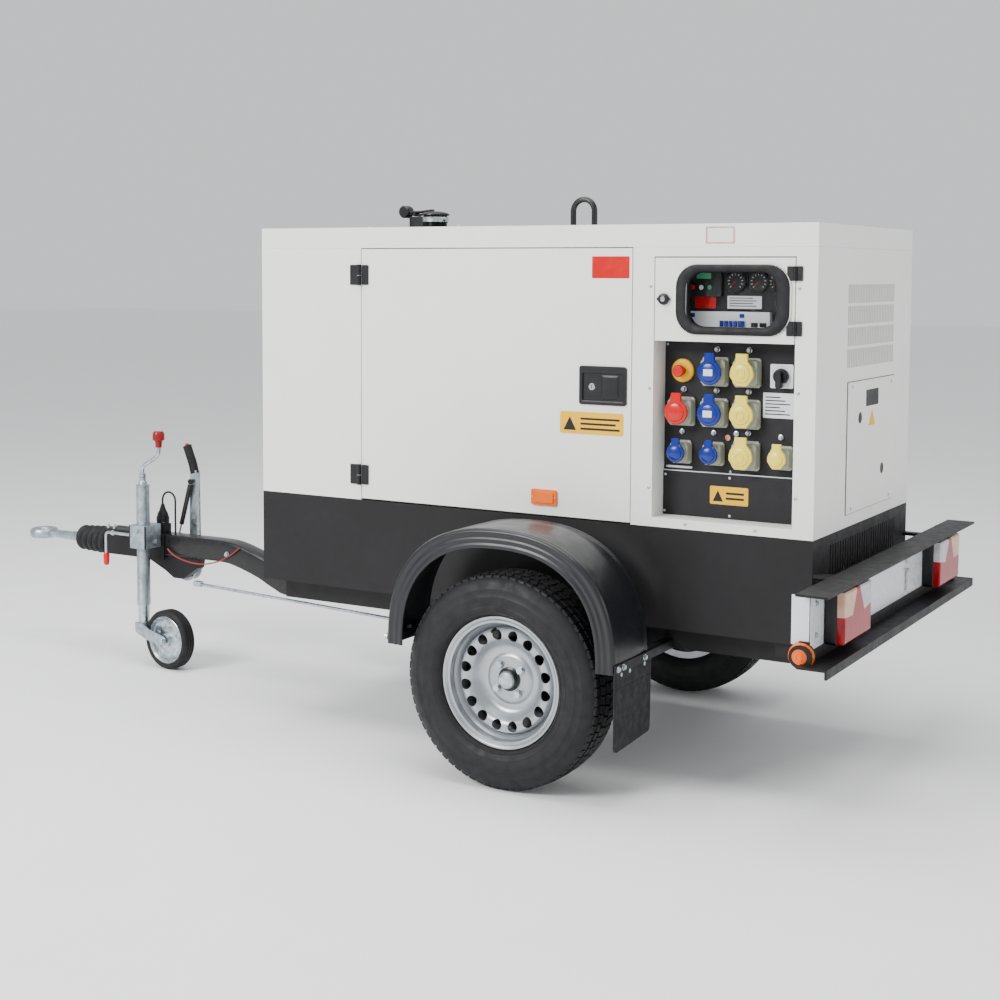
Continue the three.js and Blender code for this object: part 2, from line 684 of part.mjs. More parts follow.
// ---------------------------------------------------------------- suspension arms and wheels
const wheelSides = 32;
const tyreCorner = tyreRadius / Math.cos(Math.PI / wheelSides);
const beadRadius = 166;
const hubRadius = 62;
const ventHoles = 16;
const ventRing = 127;
const stubRadius = 22;

function trailingArm() {
  const plate = outline([
    ...arc(beamX, beamZ, 52, 80, 260, 8),
    ...arc(wheelX, tyreRadius, 46, 260, 440, 8),
  ]);
  const arm = slabAlongY(plate, -armInnerY - armThickness, -armInnerY);
  const stubAxle = bar('y', [wheelX, -(armInnerY + armThickness + halfTrack) / 2 + 4, tyreRadius], stubRadius,
    halfTrack - armInnerY - armThickness + 8);
  return joined(arm, stubAxle);
}

// Distances along a wheel's axis are from its centre plane, outwards.
function rim() {
  const t = rimWidth / 2;
  const profile = [
    [rimFlangeRadius, -t], [rimFlangeRadius, -t + 5], [beadRadius, -t + 9], [146, -t + 38], [146, 18],
    [beadRadius, t - 9], [rimFlangeRadius, t - 5], [rimFlangeRadius, t], [151, t - 12], [112, t - 12],
    [98, 24], [hubRadius, 34], [28, 44], [stubRadius + gap, 47], [stubRadius + gap, -40], [60, -40],
    [60, 6], [104, 12], [132, t - 24], [140, 6], [140, -t + 34], [beadRadius - 7, -t + 22], [beadRadius - 7, -t],
  ];
  let wheel = turned('y', [0, 0, 0], profile.map(([r, h]) => [r, -h]), wheelSides, true);
  for (let i = 0; i < ventHoles; i += 1) {
    const angle = (2 * Math.PI * i) / ventHoles;
    const hole = bar('y', [ventRing * Math.cos(angle), -t + 18, ventRing * Math.sin(angle)], 12, 40, 8);
    wheel = wheel.subtract(hole);
  }
  return wheel.translate([wheelX, -halfTrack, tyreRadius]);
}

function tyre() {
  const t = tyreWidth / 2;
  const seat = beadRadius + 0.5;
  const bead = rimWidth / 2 - 9.6;
  const half1 = [
    [seat, bead], [rimFlangeRadius + 1, bead + 4], [rimFlangeRadius + 4, bead + 14], [205, t - 6], [232, t], [262, t - 8],
    [tyreCorner - 12, t - 22], [tyreCorner, t - 38],
  ];
  const half2 = half1.map(([r, h]) => [r, -h]).reverse();
  return turned('y', [wheelX, -halfTrack, tyreRadius], [...half1, ...half2], wheelSides, true);
}

for (const [side, word] of [[nearSide, 'near'], [farSide, 'far']]) {
  part(`trailing_arm_${word}`, onSide(side, trailingArm()), black());
  part(`rim_${word}`, onSide(side, rim()), silver());
  part(`tyre_${word}`, onSide(side, tyre()), rubber());
}

// ---------------------------------------------------------------- mudguards
const guardX = rear - 784;
const guardTopZ = baseTopZ + 2;
const guardReach = 355; // half of its length
const guardHeight = 342;
const guardZ = guardTopZ - guardHeight;
const guardThickness = 5;
const guardShoulder = 2.4; // 2 is an ellipse, more is squarer
const guardOuterY = halfTrack + 92;
const guardInnerY = halfTrack - 118;
const skirtDepth = 54;
const guardDrop = 10;
const flapHeight = 230;

// The mudguard's line: a round arch with squarer shoulders.
function shoulderedArch(inset, from, to) {
  return arc(0, 0, 1, from, to, 20).map(([x, z]) => {
    const stretch = (Math.abs(x) ** guardShoulder + Math.abs(z) ** guardShoulder) ** (-1 / guardShoulder);
    return [guardX + (guardReach - inset) * stretch * x, guardZ + (guardHeight - inset) * stretch * z];
  });
}

function arch(depth) {
  const outer = shoulderedArch(0, 0, 180);
  const inner = shoulderedArch(depth, 180, 0);
  return outline([
    [guardX + guardReach, guardZ - guardDrop], ...outer, [guardX - guardReach, guardZ - guardDrop],
    [guardX - guardReach + depth, guardZ - guardDrop], ...inner, [guardX + guardReach - depth, guardZ - guardDrop],
  ]);
}

function mudguard() {
  const cover = slabAlongY(arch(guardThickness), -guardOuterY, -guardInnerY);
  const skirt = slabAlongY(arch(skirtDepth), -guardOuterY, -guardOuterY + guardThickness);
  const stayZ = guardZ - guardDrop;
  const stays = [guardX + guardReach - 26, guardX - guardReach].map((x) => box(
    x, x + 26, -guardOuterY + 40, -railY - railWidth / 2 - gap, stayZ, stayZ + 30,
  ));
  const flap = box(guardX + guardReach - guardThickness, guardX + guardReach, -guardOuterY + 8, -guardInnerY + 30,
    stayZ - flapHeight + 20, stayZ + 8);
  return joined(cover, skirt, ...stays, flap);
}

for (const [side, word] of [[nearSide, 'near'], [farSide, 'far']]) {
  part(`mudguard_${word}`, onSide(side, mudguard()), blackPlastic());
}

// ---------------------------------------------------------------- overrun coupling and tow eye
const couplingFrontX = couplingRearX - 208;
const couplingHalf = 40;
const couplingTopZ = couplingZ + 38;
const couplingBottomZ = couplingZ - 54;
const bellowsFrontX = front - 1195;
const eyeRingRadius = 52;
const eyeHole = 21;
const eyeThickness = 36;
const cheek = 6;
const clampZ = shaftZ + 51; // jockey wheel clamp on the coupling's near side
const clampReach = 38;

function jockeyClamp() {
  const block = box(jockeyX - clampReach, jockeyX + clampReach, jockeyY - 32, -couplingHalf + past,
    clampZ - 42, clampZ + 40);
  const hole = bar('z', [jockeyX, jockeyY, clampZ], jockeyTubeRadius + gap, 200, 24);
  const slit = box(jockeyX - 2, jockeyX + 2, jockeyY - 60, jockeyY, clampZ - 60, clampZ + 60);
  return cut(block, hole, slit);
}

function couplingBody() {
  const housing = box(couplingFrontX, couplingRearX, -couplingHalf, couplingHalf, couplingBottomZ, couplingTopZ);
  const boreRadius = shaftRadius + 2 * gap;
  const boreEndX = couplingFrontX + 190;
  const bore = turned('x', [0, 0, shaftZ], [
    [0, couplingFrontX - past], [boreRadius, couplingFrontX - past], [boreRadius, boreEndX], [0, boreEndX],
  ], shaftSides);
  const cheeks = [-1, 1].map((side) => {
    const inner = side * (drawbarWidth / 2 + gap);
    const outer = side * (drawbarWidth / 2 + gap + cheek);
    return box(couplingRearX - 20, couplingRearX + 85, Math.min(inner, outer), Math.max(inner, outer),
      couplingBottomZ, couplingTopZ - 4);
  });
  const saddle = slabAlongY(outline([
    [couplingRearX - 15, couplingZ - drawbarHeight / 2 - gap], [couplingRearX - 15, couplingBottomZ],
    [pivotX - 60, pivotZ - 6], [pivotX - 20, pivotZ - 30], [pivotX + 24, pivotZ - 30],
    [pivotX + 90, pivotZ + 14], [pivotX + 96, couplingZ - drawbarHeight / 2 - gap],
  ]), -22, 16);
  const pin = bar('y', [pivotX, (leverY + 12) / 2, pivotZ], 8, leverY + 14, 12);
  const bridge = box(couplingRearX - 20, couplingRearX + 60, -41, 41, couplingBottomZ, couplingZ - drawbarHeight / 2 - gap);
  return joined(cut(housing, bore), ...cheeks, saddle, bridge, pin, jockeyClamp());
}

function towEye() {
  const ringX = front - towReach + eyeRingRadius;
  const ring = bar('z', [ringX, 0, shaftZ], eyeRingRadius, eyeThickness, 24);
  const hole = bar('z', [ringX, 0, shaftZ], eyeHole, 2 * eyeThickness, 20);
  const neckEnd = bellowsFrontX - 8;
  const neck = turned('x', [0, 0, shaftZ], [
    [0, ringX + 30], [15, ringX + 30], [17, ringX + 90], [shaftRadius, neckEnd],
    [shaftRadius, couplingFrontX + 92], [0, couplingFrontX + 92],
  ], shaftSides);
  return cut(joined(ring, neck), hole);
}

function bellows() {
  const start = bellowsFrontX;
  const end = couplingFrontX - gap;
  const folds = 5;
  const pitch = (end - start) / folds;
  const outside = [];
  for (let i = 0; i < folds; i += 1) {
    const small = 36 + i * 1.2;
    outside.push([small, start + pitch * i], [small + 9, start + pitch * (i + 0.5)]);
  }
  outside.push([42, end]);
  const inner = shaftRadius + gap;
  return turned('x', [0, 0, shaftZ], [[inner, start], ...outside, [inner, end]], shaftSides, true);
}

part('coupling_body', couplingBody(), black());
part('tow_eye', towEye(), galvanised());
part('bellows', bellows(), rubber());

// ---------------------------------------------------------------- handbrake, gas strut, brake rod
const discRadius = 45;
const leverTopZ = pivotZ + 352;
const gripTop = [pivotX - 36, pivotZ + 442];
const strutY = 51;
const strutFoot = [pivotX - 69, pivotZ + 71];
const strutHead = [pivotX, pivotZ + 312];
const rodY = 2;
const rodStart = [pivotX + 62, pivotZ - 46];
const rodEndX = beamX + 30;
const rodEndZ = beamZ - 103.4; // equaliser under the axle beam

function handbrakeLever() {
  const inner = leverY - 12;
  const outer = leverY + 12;
  const ratchet = bar('y', [pivotX, (18 + inner + 2) / 2, pivotZ], discRadius, inner + 2 - 18, 24);
  const blade = slabAlongY(outline([
    [pivotX - 22, pivotZ - 26], [pivotX + 24, pivotZ - 26], [pivotX + 20, leverTopZ], [pivotX - 14, leverTopZ],
  ]), inner, outer);
  const grip = rodAlong([
    [pivotX + 1, leverY, leverTopZ - 12],
    [pivotX - 8, leverY, leverTopZ + 22],
    [gripTop[0], leverY, gripTop[1]],
  ], 15, 12, 6);
  const hole = bar('y', [pivotX, leverY / 2, pivotZ], 8 + gap, 3 * leverY, 12);
  return cut(joined(ratchet, blade, grip), hole);
}

function strutPoint(share) {
  return [
    strutFoot[0] + (strutHead[0] - strutFoot[0]) * share, strutY,
    strutFoot[1] + (strutHead[1] - strutFoot[1]) * share,
  ];
}

function straightRod(from, to, radius, sides = 12) {
  const a = new THREE.Vector3(...from);
  const b = new THREE.Vector3(...to);
  const turn = new THREE.Quaternion().setFromUnitVectors(axisY, b.clone().sub(a).normalize());
  const geometry = new THREE.CylinderGeometry(radius, radius, a.distanceTo(b), sides).applyQuaternion(turn);
  return solid(geometry.translate(...a.add(b).multiplyScalar(0.5).toArray()));
}

function strutRod() {
  const eye = bar('y', [strutFoot[0], strutY, strutFoot[1]], 9, 12, 12);
  return joined(eye, straightRod(strutPoint(0.02), strutPoint(0.76), 4));
}

function strutCylinder() {
  const tube = straightRod(strutPoint(0.34), strutPoint(0.97), 8.6);
  const eye = bar('y', [strutHead[0], strutY, strutHead[1]], 10, 13, 12);
  const bore = straightRod(strutPoint(0.3), strutPoint(0.93), 4 + gap);
  return joined(cut(tube, bore), eye);
}

function brakeRod() {
  const endZ = rodEndZ;
  const rod = straightRod([rodStart[0], rodY, rodStart[1]], [rodEndX, rodY, endZ], 5.5, 10);
  const equaliser = box(rodEndX - 12, rodEndX + 6, rodY - 90, rodY + 90, endZ - 14, endZ + 14);
  const nut = box(rodStart[0] - 4, rodStart[0] + 30, rodY - 9, rodY + 9, rodStart[1] - 9, rodStart[1] + 9);
  return joined(rod, equaliser, nut);
}

part('handbrake_lever', handbrakeLever(), galvanised());
part('strut_rod', strutRod(), silver());
part('strut_cylinder', strutCylinder(), black());
part('brake_rod', brakeRod(), galvanised());

// ---------------------------------------------------------------- jockey wheel
const stemBottomZ = 211;
const stemTopZ = 640;
const innerTubeRadius = 19.8;
const forkTopZ = 150;
const crankReach = 77;
const crankBaseZ = stemTopZ + 32;
const forkPlateY = jockeyWidth / 2 + 9;

function clampHandle() {
  const y = jockeyY;
  const startX = jockeyX - clampReach - gap;
  const shank = bar('x', [startX - 74, y, clampZ - 2], 6, 148, 12);
  const drop = bar('z', [startX - 142, y, clampZ - 41], 6, 90, 12);
  const grip = bar('z', [startX - 142, y, clampZ - 100], 11, 46, 14);
  const knuckle = bar('x', [startX - 8, y, clampZ - 2], 10, 16, 6);
  return joined(shank, drop, grip, knuckle);
}

function jockeyStem() {
  const tube = turned('z', [jockeyX, jockeyY, 0], [
    [innerTubeRadius + gap, stemBottomZ], [jockeyTubeRadius, stemBottomZ], [jockeyTubeRadius, stemTopZ],
    [16, stemTopZ + 2], [12, crankBaseZ - gap], [9, crankBaseZ - gap], [9, stemTopZ - 6],
    [innerTubeRadius + gap, stemTopZ - 6],
  ], 24, true);
  return tube;
}

function jockeyCrank() {
  const rod = rodAlong([
    [jockeyX, jockeyY, crankBaseZ - 10], [jockeyX, jockeyY, crankBaseZ + 26],
    [jockeyX + 10, jockeyY, crankBaseZ + 42], [jockeyX + crankReach - 10, jockeyY, crankBaseZ + 78],
    [jockeyX + crankReach, jockeyY, crankBaseZ + 92], [jockeyX + crankReach, jockeyY, crankBaseZ + 116],
  ], 7, 10, 18);
  const knob = turned('z', [jockeyX + crankReach, jockeyY, crankBaseZ], [
    [0, 112], [12, 112], [13, 128], [21, 138], [21, 162], [17, 168], [0, 168],
  ], 18);
  return joined(rod, knob);
}

function jockeyInnerTube() {
  return turned('z', [jockeyX, jockeyY, 0], [
    [15.5, forkTopZ + gap], [innerTubeRadius, forkTopZ + gap], [innerTubeRadius, stemTopZ - 60], [15.5, stemTopZ - 60],
  ], 24, true);
}

// The fork and wheel are drawn straight, stem at the origin, and then turned and placed.
function steered(body) {
  return body.rotate([0, 0, -jockeySteer]).translate([jockeyX, jockeyY, 0]);
}

function jockeyFork() {
  const outlineOfPlate = outline([
    [-16, forkTopZ], [-16, forkTopZ - 36], [jockeyTrail - 16, jockeyRadius - 18], [jockeyTrail + 6, jockeyRadius - 16],
    [jockeyTrail + 16, jockeyRadius + 2], [jockeyTrail + 4, jockeyRadius + 18], [60, forkTopZ - 6], [24, forkTopZ],
  ]);
  const plates = [-1, 1].map((side) => slabAlongY(outlineOfPlate,
    side * forkPlateY - 3, side * forkPlateY + 3));
  const crown = box(-20, 20, -forkPlateY, forkPlateY, forkTopZ - 14, forkTopZ);
  const axle = bar('y', [jockeyTrail, 0, jockeyRadius], 7, 2 * forkPlateY + 18, 12);
  return steered(joined(...plates, crown, axle));
}

function jockeyWheel() {
  const corner = jockeyRadius / Math.cos(Math.PI / 28);
  const w = jockeyWidth / 2;
  const wheel = turned('y', [jockeyTrail, 0, jockeyRadius], [
    [7 + gap, -w], [22, -w], [26, -w + 16], [66, -w + 16], [72, -w + 6], [84, -w + 4], [98, -w + 5], [corner, -w + 15],
    [corner, w - 15], [98, w - 5], [84, w - 4], [72, w - 6], [66, w - 16], [26, w - 16], [22, w], [7 + gap, w],
  ], 28, true);
  return steered(wheel);
}

part('clamp_handle', clampHandle(), galvanised());
part('jockey_stem', jockeyStem(), galvanised());
part('jockey_crank', jockeyCrank(), galvanised());
part('jockey_inner_tube', jockeyInnerTube(), galvanised());
part('jockey_fork', jockeyFork(), galvanised());
part('jockey_wheel', jockeyWheel(), rubber());

// ---------------------------------------------------------------- rear light bar and lamps
const barHalf = 694;
const boardHalf = 644;
const barTopZ = 635;
const barLipZ = 433;
const boardX = lightBarReach - 60;
const lampInner = 327;
const lampLength = 220;
const lampZ = [484, 622];
const lampDepth = 33;
const lensDepth = 21;

function lightBar() {
  const x = (offset) => rear + offset;
  const reach = lightBarReach;
  const top = box(x(reach - 83), x(reach), -barHalf, barHalf, barTopZ - 6, barTopZ);
  const ledge = box(x(reach - 77), x(reach), -barHalf, barHalf, barLipZ + 18, barLipZ + 24);
  const lip = box(x(reach - 6), x(reach), -barHalf, barHalf, barLipZ, barLipZ + 24);
  const board = box(x(boardX - 3), x(boardX), -boardHalf, boardHalf, barLipZ + 20, barTopZ - 3);
  const parts = [-1, 1].flatMap((side) => {
    const span = (a, b) => [Math.min(side * a, side * b), Math.max(side * a, side * b)];
    const endReturn = box(x(boardX - 48), x(boardX), ...span(boardHalf - 3, boardHalf), 501, 622);
    const upperArm = box(rear + gap, x(boardX), ...span(half - 30, half - 2), barTopZ - 12, barTopZ - 3);
    const lowerArm = box(rear - 105, x(boardX), ...span(railY + 64, railY + 94), baseBottomZ - 44, baseBottomZ - gap);
    const riser = box(x(boardX - 20), x(boardX - 1), ...span(railY + 64, railY + 94), baseBottomZ - 44, barTopZ - 3);
    const marker = bar('y', [x(59), side * (boardHalf + 9), 474], 30, 24, 16);
    return [endReturn, upperArm, lowerArm, riser, marker];
  });
  const markerArms = [-1, 1].map((side) => box(x(50), x(boardX), Math.min(side * 630, side * 650),
    Math.max(side * 630, side * 650), 452, 510));
  return joined(top, ledge, lip, board, ...parts, ...markerArms);
}

function lamp() {
  const x0 = rear + boardX + gap;
  const base = box(x0, x0 + lampDepth, -lampInner - lampLength, -lampInner, ...lampZ);
  const lens = box(x0 + lampDepth - past, x0 + lampDepth + lensDepth, -lampInner - lampLength + 2,
    -lampInner - 2, lampZ[0] + 2, lampZ[1] - 2);
  return joined(base, lens);
}

part('light_bar', lightBar(), black());
part('lamp_near', lamp(), lensRed());
part('lamp_far', onSide(farSide, lamp()), lensRed());

// ---------------------------------------------------------------- trailer plug and its lead
const plugX = couplingRearX + 45;
const plugY = 0;
const plugZ = couplingZ + drawbarHeight / 2 + gap;

function plugHolder() {
  const socket = box(plugX - 24, plugX + 24, -22, 22, plugZ, plugZ + 34);
  const body = bar('z', [plugX, plugY, plugZ + 58], 21, 60, 14);
  const neck = bar('z', [plugX, plugY, plugZ + 95], 11, 20, 12);
  return joined(socket, body, neck);
}

// The lead leaves the top of the plug, turns over and goes down into the drawbar's top.
const leadRadius = 3.5;
const plugTopZ = plugZ + 105;

function plugLead() {
  return rodAlong([
    [plugX, plugY, plugTopZ + gap], [plugX, plugY, plugTopZ + 14], [plugX + 4, plugY, plugTopZ + 29],
    [plugX + 15, plugY, plugTopZ + 40], [plugX + 30, plugY, plugTopZ + 44], [plugX + 45, plugY, plugTopZ + 40],
    [plugX + 56, plugY, plugTopZ + 29], [plugX + 60, plugY, plugTopZ + 14], [plugX + 60, plugY, plugTopZ - 20],
    [plugX + 60, plugY, plugTopZ - 55], [plugX + 60, plugY, plugTopZ - 85], [plugX + 60, plugY, plugZ + gap],
  ], leadRadius, 8, 24);
}

// The breakaway cable runs from the handbrake's foot to its eye on the side of the drawbar.
const cableRadius = 2.5;

function breakawayCable() {
  const y = -drawbarWidth / 2 - 8;
  return rodAlong([
    [pivotX - 30, y, couplingZ - 10], [pivotX, y - 2, couplingZ - 30], [pivotX + 60, y - 4, couplingZ - 46],
    [pivotX + 130, y - 4, couplingZ - 50], [pivotX + 200, y - 3, couplingZ - 36], [pivotX + 262, y - 1, couplingZ - 6],
    [pivotX + 300, y, couplingZ + 22],
  ], cableRadius, 8, 30);
}

part('parked_plug', plugHolder(), blackPlastic());
part('plug_lead', plugLead(), blackPlastic());
part('breakaway_cable', breakawayCable(), red());

export default generator;
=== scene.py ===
"""Looks of the towable diesel generator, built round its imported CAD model. Metres, in the CAD's frame."""
import math

import bmesh
import bpy
from mathutils import Matrix, Vector


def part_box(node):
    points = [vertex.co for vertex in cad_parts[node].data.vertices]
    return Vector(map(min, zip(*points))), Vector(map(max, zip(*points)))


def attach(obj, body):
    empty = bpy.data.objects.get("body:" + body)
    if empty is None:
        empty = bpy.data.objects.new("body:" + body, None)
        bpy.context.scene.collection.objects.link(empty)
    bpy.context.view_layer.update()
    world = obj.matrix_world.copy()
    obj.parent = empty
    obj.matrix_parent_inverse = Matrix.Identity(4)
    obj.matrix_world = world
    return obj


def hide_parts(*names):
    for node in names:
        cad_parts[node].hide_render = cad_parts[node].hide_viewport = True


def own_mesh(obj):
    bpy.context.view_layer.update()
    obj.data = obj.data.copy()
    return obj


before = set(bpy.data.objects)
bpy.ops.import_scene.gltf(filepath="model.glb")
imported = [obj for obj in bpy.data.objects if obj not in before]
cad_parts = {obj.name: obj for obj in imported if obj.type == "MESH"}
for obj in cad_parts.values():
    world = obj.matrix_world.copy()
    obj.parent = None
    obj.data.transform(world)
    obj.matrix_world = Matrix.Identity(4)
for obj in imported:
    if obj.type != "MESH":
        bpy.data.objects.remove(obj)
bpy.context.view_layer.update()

scene = bpy.context.scene
MM = 0.001


def mm(*points):
    """Points given in millimetres, in metres."""
    return [tuple(value * MM for value in point) for point in points]


SIDES = (("near", -1), ("far", 1))

# ---------------------------------------------------------------- where things are, from the frame
LID_LOW, LID_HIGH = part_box("roof_lid")
FRONT, REAR = LID_LOW.x, LID_HIGH.x
NEAR = LID_LOW.y
WALL_TOP, ROOF = LID_LOW.z, LID_HIGH.z
BASE_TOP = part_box("canopy_shell")[0].z
PANEL_Y = NEAR + 78 * MM  # face of the socket and instrument panels


def ahead(distance):
    """The x of something that many millimetres ahead of the canopy's rear face."""
    return REAR - distance * MM


# ---------------------------------------------------------------- camera
def look():
    """The camera's place: to the rear right of the control panel side, just above the roof's middle."""
    yaw, pitch, roll = math.radians(30.36), math.radians(4.2), math.radians(0.29)
    level = Vector((-math.sin(yaw), math.cos(yaw), 0))
    across = Vector((math.cos(yaw), math.sin(yaw), 0))
    up = Vector((0, 0, 1))
    forward = level * math.cos(pitch) - up * math.sin(pitch)
    upward = up * math.cos(pitch) + level * math.sin(pitch)
    right = across * math.cos(roll) + upward * math.sin(roll)
    top = upward * math.cos(roll) - across * math.sin(roll)
    camera = bpy.data.objects.new("camera", bpy.data.cameras.new("camera"))
    scene.collection.objects.link(camera)
    camera.matrix_world = Matrix((
        (right.x, top.x, -forward.x, ahead(-1378)),
        (right.y, top.y, -forward.y, -4.370),
        (right.z, top.z, -forward.z, 1.408),
        (0, 0, 0, 1),
    ))
    camera.data.lens = 57.9
    camera.data.sensor_width = 36
    camera.data.shift_y = -0.11
    camera.data.clip_end = 60
    scene.camera = camera


look()


class Nodes:
    """A new material's node tree, with the links that every finish here needs."""

    def __init__(self, name, slot):
        self.material = bpy.data.materials.new(name)
        self.material.use_nodes = True
        self.tree = self.material.node_tree
        self.shader = self.tree.nodes["Principled BSDF"]
        self.where = self.add("ShaderNodeTexCoord").outputs["Object"]

    def add(self, kind, **settings):
        node = self.tree.nodes.new(kind)
        for key, value in settings.items():
            setattr(node, key, value)
        return node

    def link(self, output, target):
        self.tree.links.new(output, target)

    def noise(self, scale, detail=4.0, stretch=None):
        node = self.add("ShaderNodeTexNoise")
        node.inputs["Scale"].default_value = scale
        node.inputs["Detail"].default_value = detail
        source = self.where
        if stretch:
            mapping = self.add("ShaderNodeMapping")
            mapping.inputs["Scale"].default_value = stretch
            self.link(source, mapping.inputs["Vector"])
            source = mapping.outputs["Vector"]
        self.link(source, node.inputs["Vector"])
        return node.outputs["Fac"]

    def ramp(self, source, low, high, start=0.35, end=0.65):
        node = self.add("ShaderNodeValToRGB")
        node.color_ramp.elements[0].position = start
        node.color_ramp.elements[1].position = end
        node.color_ramp.elements[0].color = (*low, 1) if isinstance(low, tuple) else (low, low, low, 1)
        node.color_ramp.elements[1].color = (*high, 1) if isinstance(high, tuple) else (high, high, high, 1)
        self.link(source, node.inputs["Fac"])
        return node.outputs["Color"]

    def bump(self, height, strength, distance, under=None):
        node = self.add("ShaderNodeBump")
        node.inputs["Strength"].default_value = strength
        node.inputs["Distance"].default_value = distance
        self.link(height, node.inputs["Height"])
        if under:
            self.link(under, node.inputs["Normal"])
        return node.outputs["Normal"]


def shade(colour, share):
    return tuple(min(1.0, c * share) for c in colour)


def finish(name, slot, colour, roughness, metallic=0.0, coat=0.0, mottle=0.06, patch=5.0, grain=0.1,
           grain_scale=700.0, spread=0.06, transmission=0.0, stretch=None, specular=0.5):
    """A painted, moulded or plated surface: its colour drifts a little, and its grain is a fine bump."""
    n = Nodes(name, slot)
    drift = n.noise(patch, 5, stretch)
    n.link(n.ramp(drift, shade(colour, 1 - mottle), shade(colour, 1 + mottle)),
           n.shader.inputs["Base Color"])
    wear = n.noise(patch * 7, 6, stretch)
    n.link(n.ramp(wear, roughness - spread, roughness + spread), n.shader.inputs["Roughness"])
    n.shader.inputs["Metallic"].default_value = metallic
    n.shader.inputs["Specular IOR Level"].default_value = specular
    n.shader.inputs["Coat Weight"].default_value = coat
    n.shader.inputs["Coat Roughness"].default_value = 0.08
    n.shader.inputs["Transmission Weight"].default_value = transmission
    if grain:
        n.link(n.bump(n.noise(grain_scale, 2), grain, 0.0004), n.shader.inputs["Normal"])
    return n.material


def zinc(name, slot, colour, roughness, spangle=90.0):
    """Galvanised or bright zinc plate: small crystals, each a slightly different grey."""
    n = Nodes(name, slot)
    cells = n.add("ShaderNodeTexVoronoi")
    cells.inputs["Scale"].default_value = spangle
    n.link(n.where, cells.inputs["Vector"])
    grey = n.add("ShaderNodeRGBToBW")
    n.link(cells.outputs["Color"], grey.inputs["Color"])
    n.link(n.ramp(grey.outputs["Val"], shade(colour, 0.82), shade(colour, 1.15), 0.2, 0.8),
           n.shader.inputs["Base Color"])
    n.link(n.ramp(n.noise(30), roughness - 0.07, roughness + 0.1), n.shader.inputs["Roughness"])
    n.shader.inputs["Metallic"].default_value = 0.92
    n.link(n.bump(n.noise(260), 0.12, 0.0004), n.shader.inputs["Normal"])
    return n.material


def lens(name, slot, colour, ribs, transmission=0.0):
    """A clear coloured lens with fine moulded ribs under a glossy face."""
    n = Nodes(name, slot)
    n.link(n.ramp(n.noise(25), shade(colour, 0.85), shade(colour, 1.12)), n.shader.inputs["Base Color"])
    n.link(n.ramp(n.noise(60), 0.08, 0.16), n.shader.inputs["Roughness"])
    n.shader.inputs["Specular IOR Level"].default_value = 0.25
    n.shader.inputs["Transmission Weight"].default_value = transmission
    wave = n.add("ShaderNodeTexWave", bands_direction="Y")
    wave.inputs["Scale"].default_value = ribs
    n.link(n.where, wave.inputs["Vector"])
    n.link(n.bump(wave.outputs["Fac"], 0.25, 0.0008), n.shader.inputs["Normal"])
    return n.material


def rubber(name, slot, colour, dust=0.25):
    """Rubber with a dry, slightly dusty skin."""
    n = Nodes(name, slot)
    n.link(n.ramp(n.noise(9, 8), shade(colour, 0.75), shade(colour, 1 + dust), 0.3, 0.75),
           n.shader.inputs["Base Color"])
    n.link(n.ramp(n.noise(40, 6), 0.5, 0.72), n.shader.inputs["Roughness"])
    n.shader.inputs["Specular IOR Level"].default_value = 0.3
    n.link(n.bump(n.noise(500, 3), 0.3, 0.0005), n.shader.inputs["Normal"])
    return n.material


def clear(name, slot):
    n = Nodes(name, slot)
    n.link(n.ramp(n.noise(8), (0.9, 0.93, 0.93), (0.97, 0.98, 0.98)), n.shader.inputs["Base Color"])
    n.link(n.ramp(n.noise(14), 0.01, 0.05), n.shader.inputs["Roughness"])
    n.shader.inputs["Transmission Weight"].default_value = 1.0
    n.shader.inputs["IOR"].default_value = 1.1
    return n.material


WHITE = finish("white_powder_coat", "white_paint", (0.82, 0.825, 0.785), 0.42, coat=0.12, mottle=0.012,
               grain=0.12)
BLACK = finish("black_powder_coat", "black_paint", (0.0075, 0.007, 0.008), 0.5, mottle=0.15, grain=0.3,
               grain_scale=900, spread=0.05, specular=0.28)
GLOSS_BLACK = finish("black_gloss_paint", "black_paint", (0.006, 0.006, 0.0065), 0.3, coat=0.1, mottle=0.1,
                     specular=0.35)
GUARD = finish("mudguard_plastic", "black_plastic", (0.006, 0.007, 0.0095), 0.36, coat=0.08, mottle=0.2,
               patch=3,
               grain=0.25, grain_scale=500, specular=0.4)
PLASTIC = finish("black_plastic", "black_plastic", (0.006, 0.006, 0.007), 0.4, mottle=0.15, grain=0.3,
                 specular=0.35)
PANEL = finish("panel_black", "black_paint", (0.012, 0.0115, 0.0135), 0.55, mottle=0.08, grain=0.2,
               specular=0.3)
HOUSING = finish("socket_housing", "black_plastic", (0.36, 0.37, 0.29), 0.36, mottle=0.05, coat=0.1)
RED = finish("red_plastic", "red_plastic", (0.55, 0.002, 0.002), 0.25, coat=0.2, mottle=0.05, specular=0.3)
DEEP_RED = finish("deep_red_plastic", "red_plastic", (0.22, 0.002, 0.004), 0.36, coat=0.1, mottle=0.08,
                  specular=0.3)
BLUE = finish("blue_plastic", "blue_plastic", (0.0005, 0.016, 0.21), 0.22, coat=0.2, mottle=0.06,
              specular=0.35)
YELLOW = finish("yellow_plastic", "yellow_plastic", (0.86, 0.68, 0.075), 0.28, coat=0.15, mottle=0.04,
                specular=0.4)
LABEL_YELLOW = finish("yellow_label", "yellow_plastic", (0.85, 0.46, 0.002), 0.4, mottle=0.04, specular=0.3)
LABEL_WHITE = finish("white_label", "white_paint", (0.74, 0.75, 0.77), 0.4, mottle=0.02)
SILVER = finish("silver_wheel_paint", "silver_paint", (0.36, 0.38, 0.40), 0.34, metallic=0.75, coat=0.2,
                mottle=0.06,
                patch=14, grain=0.06)
ZINC = zinc("zinc_plate", "galvanised_steel", (0.46, 0.51, 0.54), 0.3)
